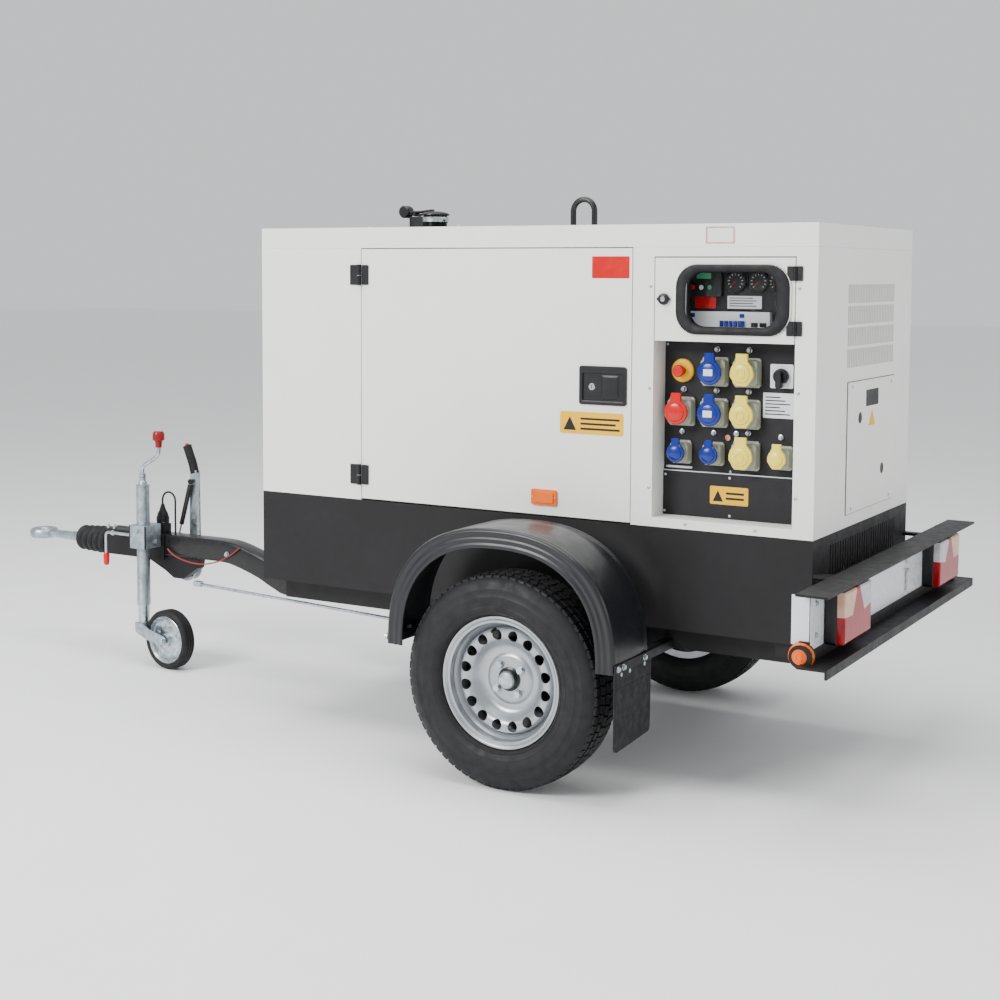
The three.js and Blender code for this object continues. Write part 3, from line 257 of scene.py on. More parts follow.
GALVANISED = zinc("galvanised_steel", "galvanised_steel", (0.36, 0.42, 0.46), 0.42, 60)
STEEL = finish("bare_steel", "galvanised_steel", (0.55, 0.56, 0.57), 0.25, metallic=1.0, mottle=0.06,
               stretch=(1, 1, 12))
COPPER = finish("copper_stud", "galvanised_steel", (0.62, 0.31, 0.18), 0.3, metallic=1.0)
BOARD = finish("light_board", "white_paint", (0.66, 0.70, 0.73), 0.3, coat=0.3, mottle=0.03)
TYRE = rubber("tyre_rubber", "tyre_rubber", (0.010, 0.010, 0.0115))
SOFT_RUBBER = rubber("moulded_rubber", "rubber", (0.008, 0.008, 0.009), 0.2)
CABLE = rubber("cable_sheath", "cable_sheath", (0.008, 0.008, 0.009), 0.15)
RED_CABLE = finish("red_cable_sheath", "red_plastic", (0.24, 0.012, 0.008), 0.4)
RED_LENS = lens("red_lens", "lens_plastic", (0.30, 0.004, 0.008), 30)
AMBER_LENS = lens("amber_lens", "lens_plastic", (0.80, 0.13, 0.001), 30)
PALE_LENS = lens("pale_amber_lens", "lens_plastic", (0.60, 0.36, 0.25), 30)
CLEAR_LENS = lens("clear_lens", "lens_plastic", (0.50, 0.48, 0.53), 40)
PANE = clear("window_pane", "window_glass")
IRON = finish("engine_paint", "cast_iron_paint", (0.07, 0.10, 0.085), 0.6, mottle=0.2, grain=0.6,
              grain_scale=200)
GREEN = finish("green_display", "black_plastic", (0.05, 0.32, 0.16), 0.3, coat=0.3)

CAD_FINISH = {
    WHITE: ("canopy_shell", "roof_lid", "control_cabinet", "control_door", "side_door_near",
            "side_door_far"),
    BLACK: ("base_tray", "chassis_frame", "trailing_arm_near", "trailing_arm_far", "light_bar",
            "coupling_body"),
    PLASTIC: ("control_door_lock", "fuel_tank", "cooling_fan", "door_handle_near", "door_handle_far"),
    PANEL: ("socket_panel", "instrument_panel"),
    ZINC: ("brake_rod",),
    IRON: ("engine_and_alternator",),
    GLOSS_BLACK: ("radiator",),
    PANE: ("window_pane",),
}


def dress_frame():
    """Gives each CAD node that stays in view its finish and softly rounded sheet-metal edges."""
    for material, names in CAD_FINISH.items():
        for name in names:
            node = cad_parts[name]
            node.data.materials.clear()
            node.data.materials.append(material)
            round_edges(node, 1.2 * MM)


def round_edges(piece, width, segments=2):
    bevel = piece.modifiers.new("edges", "BEVEL")
    bevel.width = width
    bevel.segments = segments
    bevel.limit_method = "ANGLE"
    bevel.angle_limit = math.radians(38)
    bevel.use_clamp_overlap = True


# ---------------------------------------------------------------- mesh building
def circle(centre, radius, steps, start=0.0):
    """[u, v] points round a centre."""
    return [(centre[0] + radius * math.cos(start + math.tau * i / steps),
             centre[1] + radius * math.sin(start + math.tau * i / steps)) for i in range(steps)]


def arc(centre, radius, begin, end, steps):
    """[u, v] points along an arc, angles in degrees."""
    return [(centre[0] + radius * math.cos(math.radians(begin + (end - begin) * i / steps)),
             centre[1] + radius * math.sin(math.radians(begin + (end - begin) * i / steps)))
            for i in range(steps + 1)]


def rounded(u0, u1, v0, v1, radius, steps=6):
    """A rectangle with round corners."""
    corners = (((u1 - radius, v0 + radius), -90), ((u1 - radius, v1 - radius), 0),
               ((u0 + radius, v1 - radius), 90), ((u0 + radius, v0 + radius), 180))
    return [p for centre, begin in corners for p in arc(centre, radius, begin, begin + 90, steps)]


def along(axis, u, v, a):
    """The point at [u, v] across an axis and at a along it."""
    return Vector({"x": (a, u, v), "y": (u, a, v), "z": (u, v, a)}[axis])


def smooth_line(points, steps):
    """A Catmull-Rom line through points, steps segments between each two."""
    points = [Vector(p) for p in points]
    ends = [points[0] * 2 - points[1], *points, points[-1] * 2 - points[-2]]
    line = []
    for a, b, c, d in zip(ends, ends[1:], ends[2:], ends[3:]):
        for i in range(steps):
            t = i / steps
            line.append(0.5 * (2 * b + (c - a) * t + (2 * a - 5 * b + 4 * c - d) * t * t
                               + (3 * b - a - 3 * c + d) * t ** 3))
    return line + [points[-1]]


class Shape:
    """A mesh made of closed solids; paint is the number of the material that the next solid takes."""

    def __init__(self):
        self.bm = bmesh.new()
        self.paint = 0

    def rings(self, rings, closed=False):
        rows = [[self.bm.verts.new(p) for p in ring] for ring in rings]
        pairs = list(zip(rows, rows[1:])) + ([(rows[-1], rows[0])] if closed else [])
        faces = []
        for low, high in pairs:
            for i, vertex in enumerate(low):
                j = (i + 1) % len(low)
                faces.append(self.bm.faces.new((vertex, low[j], high[j], high[i])))
        if not closed:
            faces.append(self.bm.faces.new(rows[0][::-1]))
            faces.append(self.bm.faces.new(rows[-1]))
        for face in faces:
            face.material_index = self.paint
        return self

    def box(self, low, high):
        corners = [(low[0], low[1]), (high[0], low[1]), (high[0], high[1]), (low[0], high[1])]
        return self.rings([[(u, v, z) for u, v in corners] for z in (low[2], high[2])])

    def slab(self, outline, axis, begin, end):
        return self.rings([[along(axis, u, v, a) for u, v in outline] for a in (begin, end)])

    def turned(self, axis, centre, profile, steps=48, closed=False):
        """profile: (radius, distance along the axis) from the centre."""
        where = {"x": (centre[1], centre[2], centre[0]), "y": (centre[0], centre[2], centre[1]),
                 "z": (centre[0], centre[1], centre[2])}[axis]
        rings = [[along(axis, u, v, where[2] + h) for u, v in circle(where[:2], max(r, 1e-7), steps)]
                 for r, h in profile]
        return self.rings(rings, closed)

    def tube(self, points, radius, sides=14, steps=6):
        """A round rod along a smooth line."""
        return self.sweep(smooth_line(points, steps), circle((0, 0), radius, sides))

    def sweep(self, line, section, side=None):
        """A section, its u across the line and its v up, carried along the line."""
        rings = []
        normal = side or Vector((0, 1, 0))
        for i, point in enumerate(line):
            ahead_of = line[min(i + 1, len(line) - 1)]
            behind = line[max(i - 1, 0)]
            tangent = (ahead_of - behind).normalized()
            normal = (normal - tangent * normal.dot(tangent))
            if normal.length < 1e-4:
                normal = Vector((1, 0, 0)) - tangent * tangent.x
            normal.normalize()
            up = tangent.cross(normal)
            rings.append([point + normal * u + up * v for u, v in section])
        return self.rings(rings)

    def bolt(self, head, axis, sign, across=13 * MM, height=6 * MM):
        """A hexagon head on its washer, its seat at head, facing sign along the axis."""
        u, v, a = {"x": (head[1], head[2], head[0]), "y": (head[0], head[2], head[1]),
                   "z": (head[0], head[1], head[2])}[axis]
        self.slab(circle((u, v), across * 0.75, 20), axis, a - sign * 0.2 * MM, a + sign * 1.4 * MM)
        return self.slab(circle((u, v), across * 0.57, 6), axis, a + sign * 1.3 * MM,
                         a + sign * (1.4 * MM + height))

    def screw(self, head, axis, sign, radius=4 * MM):
        """A low round head."""
        u, v, a = {"x": (head[1], head[2], head[0]), "y": (head[0], head[2], head[1]),
                   "z": (head[0], head[1], head[2])}[axis]
        rings = [(radius, -0.2 * MM), (radius, 0.6 * MM), (radius * 0.8, 1.6 * MM),
                 (radius * 0.35, 2.1 * MM),
                 (radius * 0.3, 1.3 * MM), (0, 1.3 * MM)]
        return self.rings([[along(axis, p, q, a + sign * h) for p, q in circle((u, v), max(r, 1e-7), 16)]
                           for r, h in rings])

    def moved(self, matrix):
        bmesh.ops.transform(self.bm, matrix=matrix, verts=self.bm.verts)
        return self

    def mirrored(self, side):
        """The same on the far side."""
        return self if side < 0 else self.moved(Matrix.Scale(-1, 4, (0, 1, 0)))

    def piece(self, name, body, materials, replaces=(), edge=0.0, segments=2, sharp=35):
        bmesh.ops.remove_doubles(self.bm, verts=self.bm.verts, dist=1e-6)
        bmesh.ops.dissolve_degenerate(self.bm, edges=self.bm.edges, dist=1e-6)
        bmesh.ops.recalc_face_normals(self.bm, faces=self.bm.faces)
        mesh = bpy.data.meshes.new(name)
        self.bm.to_mesh(mesh)
        self.bm.free()
        materials = materials if isinstance(materials, (list, tuple)) else (materials,)
        for material in materials:
            mesh.materials.append(material)
        for polygon in mesh.polygons:
            polygon.use_smooth = True
        mesh.set_sharp_from_angle(angle=math.radians(sharp))
        made = bpy.data.objects.new(name, mesh)
        scene.collection.objects.link(made)
        if edge:
            round_edges(made, edge, segments)
        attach(made, body)
        if replaces:
            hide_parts(*([replaces] if isinstance(replaces, str) else replaces))
        return made


# ---------------------------------------------------------------- cords, on their routes in the CAD
def plug_lead():
    x, _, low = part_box("plug_lead")[0]
    x += 3.5 * MM
    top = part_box("parked_plug")[1].z
    steps = ((0, 0.3), (0, 14), (4, 29), (15, 40), (30, 44), (45, 40), (56, 29), (60, 14), (60, -20),
             (60, -55),
             (60, -85), (60, (low - top) / MM))
    line = smooth_line([(x + dx * MM, 0, top + dz * MM) for dx, dz in steps], 6)
    made = Shape().sweep(line, circle((0, 0), 3.5 * MM, 12)).piece(
        "plug_lead_sheath", "trailer", CABLE, replaces="plug_lead")


def breakaway_cable():
    low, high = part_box("breakaway_cable")
    x, y, z = low.x, -43 * MM, 422 * MM
    steps = ((0, 0, -10), (30, -2, -30), (90, -4, -46), (160, -4, -50), (230, -3, -36), (292, -1, -6),
             (330, 0, 22))
    line = smooth_line([(x + 1.7 * MM + dx * MM, y + dy * MM, z + dz * MM) for dx, dy, dz in steps], 8)
    made = Shape().sweep(line, circle((0, 0), 2.5 * MM, 10)).piece(
        "breakaway_sheath", "trailer", RED_CABLE, replaces="breakaway_cable")


# ---------------------------------------------------------------- wheels
def wheel_centre(side):
    low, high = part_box("rim_near" if side < 0 else "rim_far")
    return Vector(((low.x + high.x) / 2, (low.y + high.y) / 2, (low.z + high.z) / 2))


def tyre(word, side):
    """Carcass with ringed sidewalls, and a tread of blocks between grooves."""
    centre = wheel_centre(-1)
    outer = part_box("tyre_near")[1].z / 2
    bead = 166.5 * MM
    wall = [(bead, 54), (183.4 * MM, 58.4), (186.5 * MM, 68), (192 * MM, 73.5), (194 * MM, 72.5),
            (200 * MM, 77),
            (210 * MM, 80.5), (212 * MM, 79.8), (226 * MM, 82.6), (238 * MM, 82.4), (240 * MM, 81.2),
            (256 * MM, 79), (259 * MM, 79.6), (272 * MM, 75.5), (279 * MM, 71), (outer - 11 * MM, 66)]
    tread_floor = outer - 7 * MM
    half = [(r, h * MM) for r, h in wall] + [(tread_floor, 60 * MM), (tread_floor, 0)]
    profile = half + [(r, -h) for r, h in half[-2::-1]]
    shape = Shape().turned("y", centre, profile, 120, closed=True)
    rows = ((-61, -41, 3.5, 72), (-36, -16, 0.8, 72), (-11.5, 11.5, 0, 60), (16, 36, 0.8, 72),
            (41, 61, 3.5, 72))
    for begin, end, drop, count in rows:
        for i in range(count):
            tread_block(shape, centre, begin, end, outer - drop * MM, tread_floor - 4 * MM, i, count)
    for sign in (-1, 1):
        for i in range(72):
            shoulder_block(shape, centre, sign, outer, i)
    shape.mirrored(side).piece(f"tyre_{word}_treaded", f"wheel_{word}", TYRE, replaces=f"tyre_{word}",
                               sharp=28)


def tread_block(shape, centre, begin, end, top, floor, index, count):
    pitch = math.tau / count
    lean = 0.16 * pitch * (1 if begin + end > 0 else -1)
    rings = []
    for radius in (floor, top):
        ring = []
        for y, edge in ((begin, 0.09), (end, 0.09), (end, 0.91), (begin, 0.91)):
            angle = pitch * (index + edge) + (lean if y == end else 0)
            ring.append((centre.x + radius * math.cos(angle), centre.y + y * MM,
                         centre.z + radius * math.sin(angle)))
        rings.append(ring)
    shape.rings(rings)


def shoulder_block(shape, centre, sign, outer, index):
    pitch = math.tau / 72
    rings = []
    for radius, y in ((outer - 26 * MM, 71), (outer - 5.5 * MM, 61.5)):
        ring = []
        for depth, edge in ((0, 0.12), (3.2, 0.12), (3.2, 0.7), (0, 0.7)):
            angle = pitch * (index + edge)
            ring.append((centre.x + radius * math.cos(angle), centre.y + sign * (y - 4 + depth + 1.6) * MM,
                         centre.z + radius * math.sin(angle)))
        rings.append(ring)
    shape.rings(rings)


def cut_holes(target, cutter):
    """Takes the cutter's solids out of the target, for good."""
    knife = target.modifiers.new("holes", "BOOLEAN")
    knife.operation = "DIFFERENCE"
    knife.solver = "EXACT"
    knife.object = cutter
    bpy.context.view_layer.update()
    cut = bpy.data.meshes.new_from_object(target.evaluated_get(bpy.context.evaluated_depsgraph_get()))
    target.modifiers.remove(knife)
    old = target.data
    target.data = cut
    bpy.data.meshes.remove(old)
    bpy.data.objects.remove(cutter)


def rim(word, side):
    """Pressed steel wheel: stepped barrel, dished disc with a ring of round holes, hub with studs and cap."""
    centre = wheel_centre(-1)
    profile = [(182.4, -64), (182.4, -59.5), (180, -57), (168, -55), (165.5, -50), (164, -36), (146, -26),
               (146, 14),
               (156, 24), (165, 36), (166, 55), (180, 57), (182.4, 60), (182.4, 63), (181, 64),
               (177, 63.5), (173, 61),
               (170, 57.5), (163.5, 56), (161.5, 50), (160.5, 38), (153, 27), (148.5, 20), (147, 24),
               (143.5, 32),
               (139, 36), (132, 37.5), (122, 36.5), (113, 32), (106, 24), (99, 12), (90, 5), (80, 2.5),
               (72, 3),
               (67, 7), (62, 9.5), (56, 10), (22.4, 10), (22.4, 5.5), (56, 5.5), (64, 4.5), (70, -1.5),
               (80, -2.5),
               (92, 0), (102, 8), (109, 20), (115, 27.5), (123, 31.5), (132, 32.5), (137, 31.5),
               (141, 27.5),
               (143, 20), (143, -24), (160, -38), (161, -62)]
    disc = Shape().turned("y", centre, [(r * MM, -h * MM) for r, h in profile], 96, closed=True)
    made = disc.piece("rim_cutting", "trailer", SILVER)
    cutter = Shape()
    for i in range(16):
        angle = math.tau * (i + 0.5) / 16
        hole = (centre.x + 127 * MM * math.cos(angle), centre.z + 127 * MM * math.sin(angle))
        cutter.slab(circle(hole, 15 * MM, 24), "y", centre.y - 12 * MM, centre.y - 52 * MM)
    cut_holes(made, cutter.piece("rim_cutter", "trailer", SILVER))
    shape = Shape()
    shape.bm.from_mesh(made.data)
    bpy.data.objects.remove(made)
    shape.mirrored(side).piece(f"rim_{word}_pressed", f"wheel_{word}", SILVER, replaces=f"rim_{word}",
                               sharp=24)
    hub = Shape()
    hub.turned("y", centre, mm((0, -9), (33, -9), (33, -14), (29, -16), (28, -21), (0, -21)), 36)
    hub.paint = 1
    hub.turned("y", centre, mm((0, -20), (24, -20), (24, -28), (21, -32.5), (16, -34), (15, -33),
                               (0, -33)), 36)
    for i in range(4):
        angle = math.radians(38 + 90 * i)
        seat = (centre.x + 47 * MM * math.cos(angle), centre.y - 10 * MM,
                centre.z + 47 * MM * math.sin(angle))
        hub.turned("y", seat, mm((0, 1), (12, 1), (10.5, -4), (0, -4)), 20)
        hub.slab(circle((seat[0], seat[2]), 10 * MM, 6), "y", seat[1] - 3 * MM, seat[1] - 12 * MM)
    hub.paint = 2
    angle = math.radians(100)
    stem = Vector((centre.x + 146 * MM * math.cos(angle), centre.y - 44 * MM,
                   centre.z + 146 * MM * math.sin(angle)))
    lean = Vector((-0.25 * math.cos(angle), -1, -0.25 * math.sin(angle))) * 12 * MM
    hub.tube([stem, stem + lean, stem + lean * 1.8], 4.2 * MM, 12, 2)
    hub.mirrored(side).piece(f"hub_{word}", f"wheel_{word}", (GLOSS_BLACK, ZINC, SOFT_RUBBER), sharp=30)


def brake_drum(word, side):
    """Backs the holes of the wheel with the dark drum that shows through them."""
    centre = wheel_centre(-1)
    shape = Shape().turned("y", centre, mm((24, 34), (138, 34), (141, 30), (141, -2), (110, -2), (106, 5),
                                           (60, 5), (24, 5)), 48, closed=True)
    shape.mirrored(side).piece(f"brake_drum_{word}", f"wheel_{word}", GLOSS_BLACK, sharp=30)


# ---------------------------------------------------------------- mudguards
def mudguard(word, side):
    """Moulded arch: a crowned top with a rolled inner edge, a stepped and ribbed outer skirt."""
    low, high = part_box("mudguard_near")
    reach = (high.x - low.x) / 2
    middle = (low.x + high.x) / 2
    height = 342 * MM
    axis_z = high.z - height
    shoulder = 2.4
    section = [  # (distance inside the outer line, y), round the plastic's thickness
        (9, 490), (1.2, 491.5), (0.5, 497), (3, 503), (3.4, 512), (1, 520), (0, 560), (0, 655),
               (0.6, 672), (1.5, 682),
        (0.5, 688), (4, 694.5), (9, 697.5), (14, 697.5), (17, 696), (25, 696), (28, 698.4), (33, 698.4),
               (36, 696.6),
        (40, 696.6), (43, 699.6), (52, 700), (54, 698), (54, 695), (44, 694), (30, 693), (12, 692),
               (6, 688), (5, 678),
        (4.6, 655), (4.6, 560), (5.5, 515), (7, 500), (9, 494),
    ]
    rings = []
    angles = [-4, *range(0, 181, 4), 184]
    for angle in angles:
        c, s = math.cos(math.radians(angle)), math.sin(math.radians(angle))
        if s < 0:
            unit = (1 if c > 0 else -1, 0)
            drop = 10 * MM
        else:
            scale = (abs(c) ** shoulder + abs(s) ** shoulder) ** (-1 / shoulder)
            unit = (c * scale, s * scale)
            drop = 0
        rings.append([(middle + unit[0] * (reach - inside * MM), -y * MM,
                       axis_z - drop + unit[1] * (height - inside * MM)) for inside, y in section])
    Shape().rings(rings).mirrored(side).piece(f"mudguard_{word}_shell", "trailer", GUARD,
                                              replaces=f"mudguard_{word}", sharp=50)
    mudguard_fittings(word, side, middle, reach, axis_z - 10 * MM, low)


def mudguard_fittings(word, side, middle, reach, foot, low):
    bars = Shape()
    rail = 330.5 * MM
    for x, outer in ((middle + reach - 26 * MM, 655), (middle - reach, 655)):
        bars.slab(rounded(x + 1 * MM, x + 25 * MM, foot + 1 * MM, foot + 28 * MM, 3 * MM, 3), "y",
                  -outer * MM, -rail)
    bars.paint = 1
    for y in (655, 600):
        bars.bolt((middle + reach - 13 * MM, -y * MM, foot + 28 * MM), "z", 1)
        bars.bolt((middle - reach + 13 * MM, -y * MM, foot + 28 * MM), "z", 1)
    bars.bolt((middle - reach + 0.5 * MM, -682 * MM, foot + 16 * MM), "x", -1, 15 * MM, 13 * MM)
    for y in (680, 648, 520):
        bars.bolt((middle + reach + 4 * MM, -y * MM, foot + 14 * MM), "x", 1, 12 * MM, 5 * MM)
    bars.paint = 0
    bars.slab(rounded(-696 * MM, -rail, foot + 2 * MM, foot + 26 * MM, 2 * MM, 3), "x",
              middle + reach + 0.2 * MM,
              middle + reach + 4.2 * MM)
    bars.mirrored(side).piece(f"mudguard_{word}_stays", "trailer", (BLACK, ZINC), edge=1 * MM)
    flap = Shape()
    x = middle + reach
    for border, z_top, begin, end in ((0, 6, -5, -0.5), (7, -40, -6, 0)):
        edge = [(-690 + border, foot / MM + z_top), (-690 + border, 177), (-685 + border, 165 + border),
                (-673, 161.5 + border), (-482, 173 + border), (-473 - border, 183),
                (-468 - border, foot / MM + z_top)]
        flap.slab([(u * MM, v * MM) for u, v in edge], "x", x + begin * MM, x + end * MM)
    flap.paint = 1
    for y in (650, 600, 510):
        flap.screw((x - 0.6 * MM, -y * MM, foot - 6 * MM), "x", -1, 6 * MM)
    flap.mirrored(side).piece(f"mudflap_{word}", "trailer", (SOFT_RUBBER, ZINC), edge=0.8 * MM)


# ---------------------------------------------------------------- canopy details
def screws():
    shape = Shape()
    for x, z in ((468, 1371), (468, 1096), (467, 826), (358, 734), (159, 733), (49, 826), (47, 1099),
                 (48, 1369)):
        shape.screw((ahead(x), NEAR, z * MM), "y", -1, 4.5 * MM)
    for y, z in ((-131, 1102), (225, 1098), (-125, 767), (221, 766)):
        shape.screw((REAR + 3 * MM, y * MM, z * MM), "x", 1, 5.5 * MM)
    shape.piece("canopy_screws", "trailer", (ZINC,), sharp=40)


def door_furniture(word, side):
    """Hinge covers, latch surround with its key barrel, amber marker and blank labels of a side door."""
    door = f"side_door_{word}"
    low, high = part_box("side_door_near")
    panel_y = NEAR
    hinge_x = low.x - 6 * MM
    for index, z in enumerate((WALL_TOP - 80 * MM, BASE_TOP + 77 * MM)):
        fixed = Shape()
        fixed.slab(rounded(hinge_x - 34 * MM, hinge_x - 5 * MM, z - 30 * MM, z + 30 * MM, 3 * MM, 3), "y",
                   panel_y - 5.2 * MM, panel_y - 0.1 * MM)
        fixed.turned("z", (hinge_x, panel_y - 6 * MM, z), mm((0, -31), (7, -31), (7, -2), (0, -2)), 20)
        fixed.mirrored(side).piece(f"hinge_{word}_{index + 1}_fixed", "trailer", PLASTIC, edge=0.8 * MM)
        swinging = Shape()
        swinging.slab(rounded(hinge_x + 8 * MM, hinge_x + 31 * MM, z - 30 * MM, z + 30 * MM, 3 * MM, 3),
                      "y",
                      panel_y - 5.2 * MM, panel_y - 0.1 * MM)
        swinging.turned("z", (hinge_x, panel_y - 6 * MM, z), mm((0, -1), (7, -1), (7, 31), (0, 31)), 20)
        swinging.mirrored(side).piece(f"hinge_{word}_{index + 1}_swinging", door, PLASTIC, edge=0.8 * MM)
    latch(word, side)
    marker = Shape()
    x0, x1, z0, z1 = ahead(830), ahead(749), 752 * MM, 797 * MM
    marker.slab(rounded(x0, x1, z0, z1, 6 * MM), "y", panel_y - 7 * MM, panel_y + 0.5 * MM)
    marker.paint = 1
    marker.slab(rounded(x0 + 9 * MM, x1 - 9 * MM, z0 + 7 * MM, z1 - 7 * MM, 4 * MM), "y", panel_y - 10 * MM,
                panel_y - 5 * MM)
    marker.paint = 2
    for x in (x0 + 4.5 * MM, x1 - 4.5 * MM):
        marker.screw((x, panel_y - 7 * MM, (z0 + z1) / 2), "y", -1, 2.5 * MM)
    marker.mirrored(side).piece(f"marker_{word}", door, (AMBER_LENS, AMBER_LENS, STEEL), edge=1.2 * MM)
    labels = Shape()
    labels.slab(rounded(ahead(742), ahead(545), 960 * MM, 1022 * MM, 6 * MM), "y", panel_y - 0.6 * MM,
                panel_y + 0.3 * MM)
    labels.paint = 1
    labels.slab(rounded(ahead(646), ahead(532), 1392 * MM, 1452 * MM, 3 * MM), "y", panel_y - 0.6 * MM,
                panel_y + 0.3 * MM)
    labels.paint = 2
    labels.rings([[along("y", u, v, a) for u, v in ((ahead(731), 970 * MM), (ahead(691), 970 * MM),
                                                   (ahead(711), 1008 * MM))]
                  for a in (panel_y - 0.8 * MM, panel_y - 0.2 * MM)])
    for i in range(3):
        labels.slab(rounded(ahead(678), ahead(556 + 12 * (i % 2)), (972 + 14 * i) * MM,
                            (978 + 14 * i) * MM, 2 * MM, 2),
                    "y", panel_y - 0.8 * MM, panel_y - 0.2 * MM)
    labels.mirrored(side).piece(f"door_labels_{word}", door, (LABEL_YELLOW, RED, PLASTIC))


def latch(word, side):
    """A square bezel round the dish, and the moulded face of the paddle."""
    low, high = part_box("door_handle_near")
    door_low = low.x - 63 * MM
    bezel = Shape()
    x0, x1, z0, z1 = door_low - 1 * MM, high.x + 22 * MM, low.z - 14 * MM, high.z + 22 * MM
    outer = rounded(x0, x1, z0, z1, 7 * MM)
    hole = rounded(door_low + 9 * MM, high.x + 13 * MM, low.z - 3 * MM, high.z + 3 * MM, 4 * MM)
    step = rounded(door_low + 4 * MM, high.x + 17 * MM, low.z - 8 * MM, high.z + 8 * MM, 5 * MM)
    layers = [(outer, -0.1), (outer, -4.5), (step, -5.5), (hole, -4), (hole, 9.6)]
    bezel.rings([[along("y", u, v, NEAR + a * MM) for u, v in ring] for ring, a in layers] , closed=False)
    bezel.mirrored(side).piece(f"latch_bezel_{word}", f"side_door_{word}", (PLASTIC,), sharp=35)
    lock = Shape()
    at_x, at_z = door_low + 36 * MM, (low.z + high.z) / 2
    lock.turned("y", (at_x, NEAR, at_z), mm((0, 9.4), (10, 9.4), (10, -0.2), (8.5, -1.2), (0, -1.2)), 28)
    lock.paint = 1
    lock.box((at_x - 1 * MM, NEAR - 1.6 * MM, at_z - 5 * MM), (at_x + 1 * MM, NEAR - 1 * MM, at_z + 5 * MM))
    lock.mirrored(side).piece(f"latch_lock_{word}", f"side_door_{word}", (STEEL, PLASTIC), sharp=30)
    paddle = Shape()
    rings = []
    for inset, y in ((0.2, 0), (0, -5), (3, -7.6), (10, -8.4)):
        rings.append([along("y", u, v, NEAR + (6.8 + y) * MM) for u, v in rounded(
            low.x + inset * MM, high.x - inset * MM, low.z + inset * MM, high.z - inset * MM, 5 * MM)])
    paddle.rings(rings)
    paddle.mirrored(side).piece(f"latch_paddle_{word}", f"handle_{word}", PLASTIC,
                                replaces=f"door_handle_{word}",
                                sharp=35)


def control_door_trim():
    """Rubber gasket round the window, hinge covers, and the knob of the lock."""
    low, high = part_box("control_door")
    pane_low, pane_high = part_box("window_pane")
    face = NEAR
    gasket = Shape()
    section = (  # how far out on the left, right, bottom and top, the corners' radius, and the depth
        (31, 31, 15.5, 15, 60, 0.4), (32, 32, 16, 15.5, 60, -5), (27, 27, 13, 12, 57, -8),
               (14, 10, 6, 5, 52, -8.8),
        (2, -4, -1, -1, 46, -7), (-3, -8, -5, -5, 42, -3), (-3, -8, -5, -5, 42, 18.4),
               (0.2, 0.2, 0.2, 0.2, 46, 18.4),
        (0.2, 0.2, 0.2, 0.2, 46, 0.4),
    )
    gasket.rings([[along("y", u, v, NEAR + depth * MM) for u, v in rounded(
        pane_low.x - left * MM, pane_high.x + right * MM, pane_low.z - bottom * MM, pane_high.z + top * MM,
        radius * MM, 8)] for left, right, bottom, top, radius, depth in section], closed=True)
    gasket.piece("window_gasket", "control_door", (SOFT_RUBBER,), sharp=60)
    for index, z in enumerate((high.z - 41 * MM, low.z + 40 * MM)):
        hinge_x = high.x + 2 * MM
        shape = Shape()
        shape.slab(rounded(hinge_x - 23 * MM, hinge_x - 1.5 * MM, z - 19 * MM, z + 19 * MM, 2 * MM, 3), "y",
                   face - 4.4 * MM, face - 0.1 * MM)
        shape.turned("z", (hinge_x, face - 5 * MM, z), mm((0, -19), (5, -19), (5, -0.5), (0, -0.5)), 18)
        shape.piece(f"control_hinge_{index + 1}_swinging", "control_door", PLASTIC, edge=0.7 * MM)
        shape = Shape()
        shape.slab(rounded(hinge_x + 1.5 * MM, hinge_x + 19 * MM, z - 19 * MM, z + 19 * MM, 2 * MM, 3), "y",
                   face - 4.4 * MM, face - 0.1 * MM)
        shape.turned("z", (hinge_x, face - 5 * MM, z), mm((0, 0.5), (5, 0.5), (5, 19), (0, 19)), 18)
        shape.piece(f"control_hinge_{index + 1}_fixed", "trailer", PLASTIC, edge=0.7 * MM)
    lock_low, lock_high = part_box("control_door_lock")
    x, z = lock_high.x - 12 * MM, (lock_low.z + lock_high.z) / 2
    knob = Shape()
    knob.turned("y", (x, face, z), mm((0, -1), (15, -1), (16, -4), (15, -9.5), (12, -11), (0, -11)), 32)
    knob.slab([(x - 21 * MM, z), (x - 12 * MM, z - 8 * MM), (x - 12 * MM, z + 8 * MM)], "y", face - 8 * MM,
              face - 2 * MM)
    knob.slab([(x + 21 * MM, z), (x + 12 * MM, z - 8 * MM), (x + 12 * MM, z + 8 * MM)], "y", face - 8 * MM,
              face - 2 * MM)
    knob.paint = 1
    knob.turned("y", (x, face, z), mm((0, -10), (7, -10), (6.5, -12.5), (0, -12.5)), 24)
    knob.piece("control_lock_knob", "control_lock", (PLASTIC, STEEL), edge=0.6 * MM)


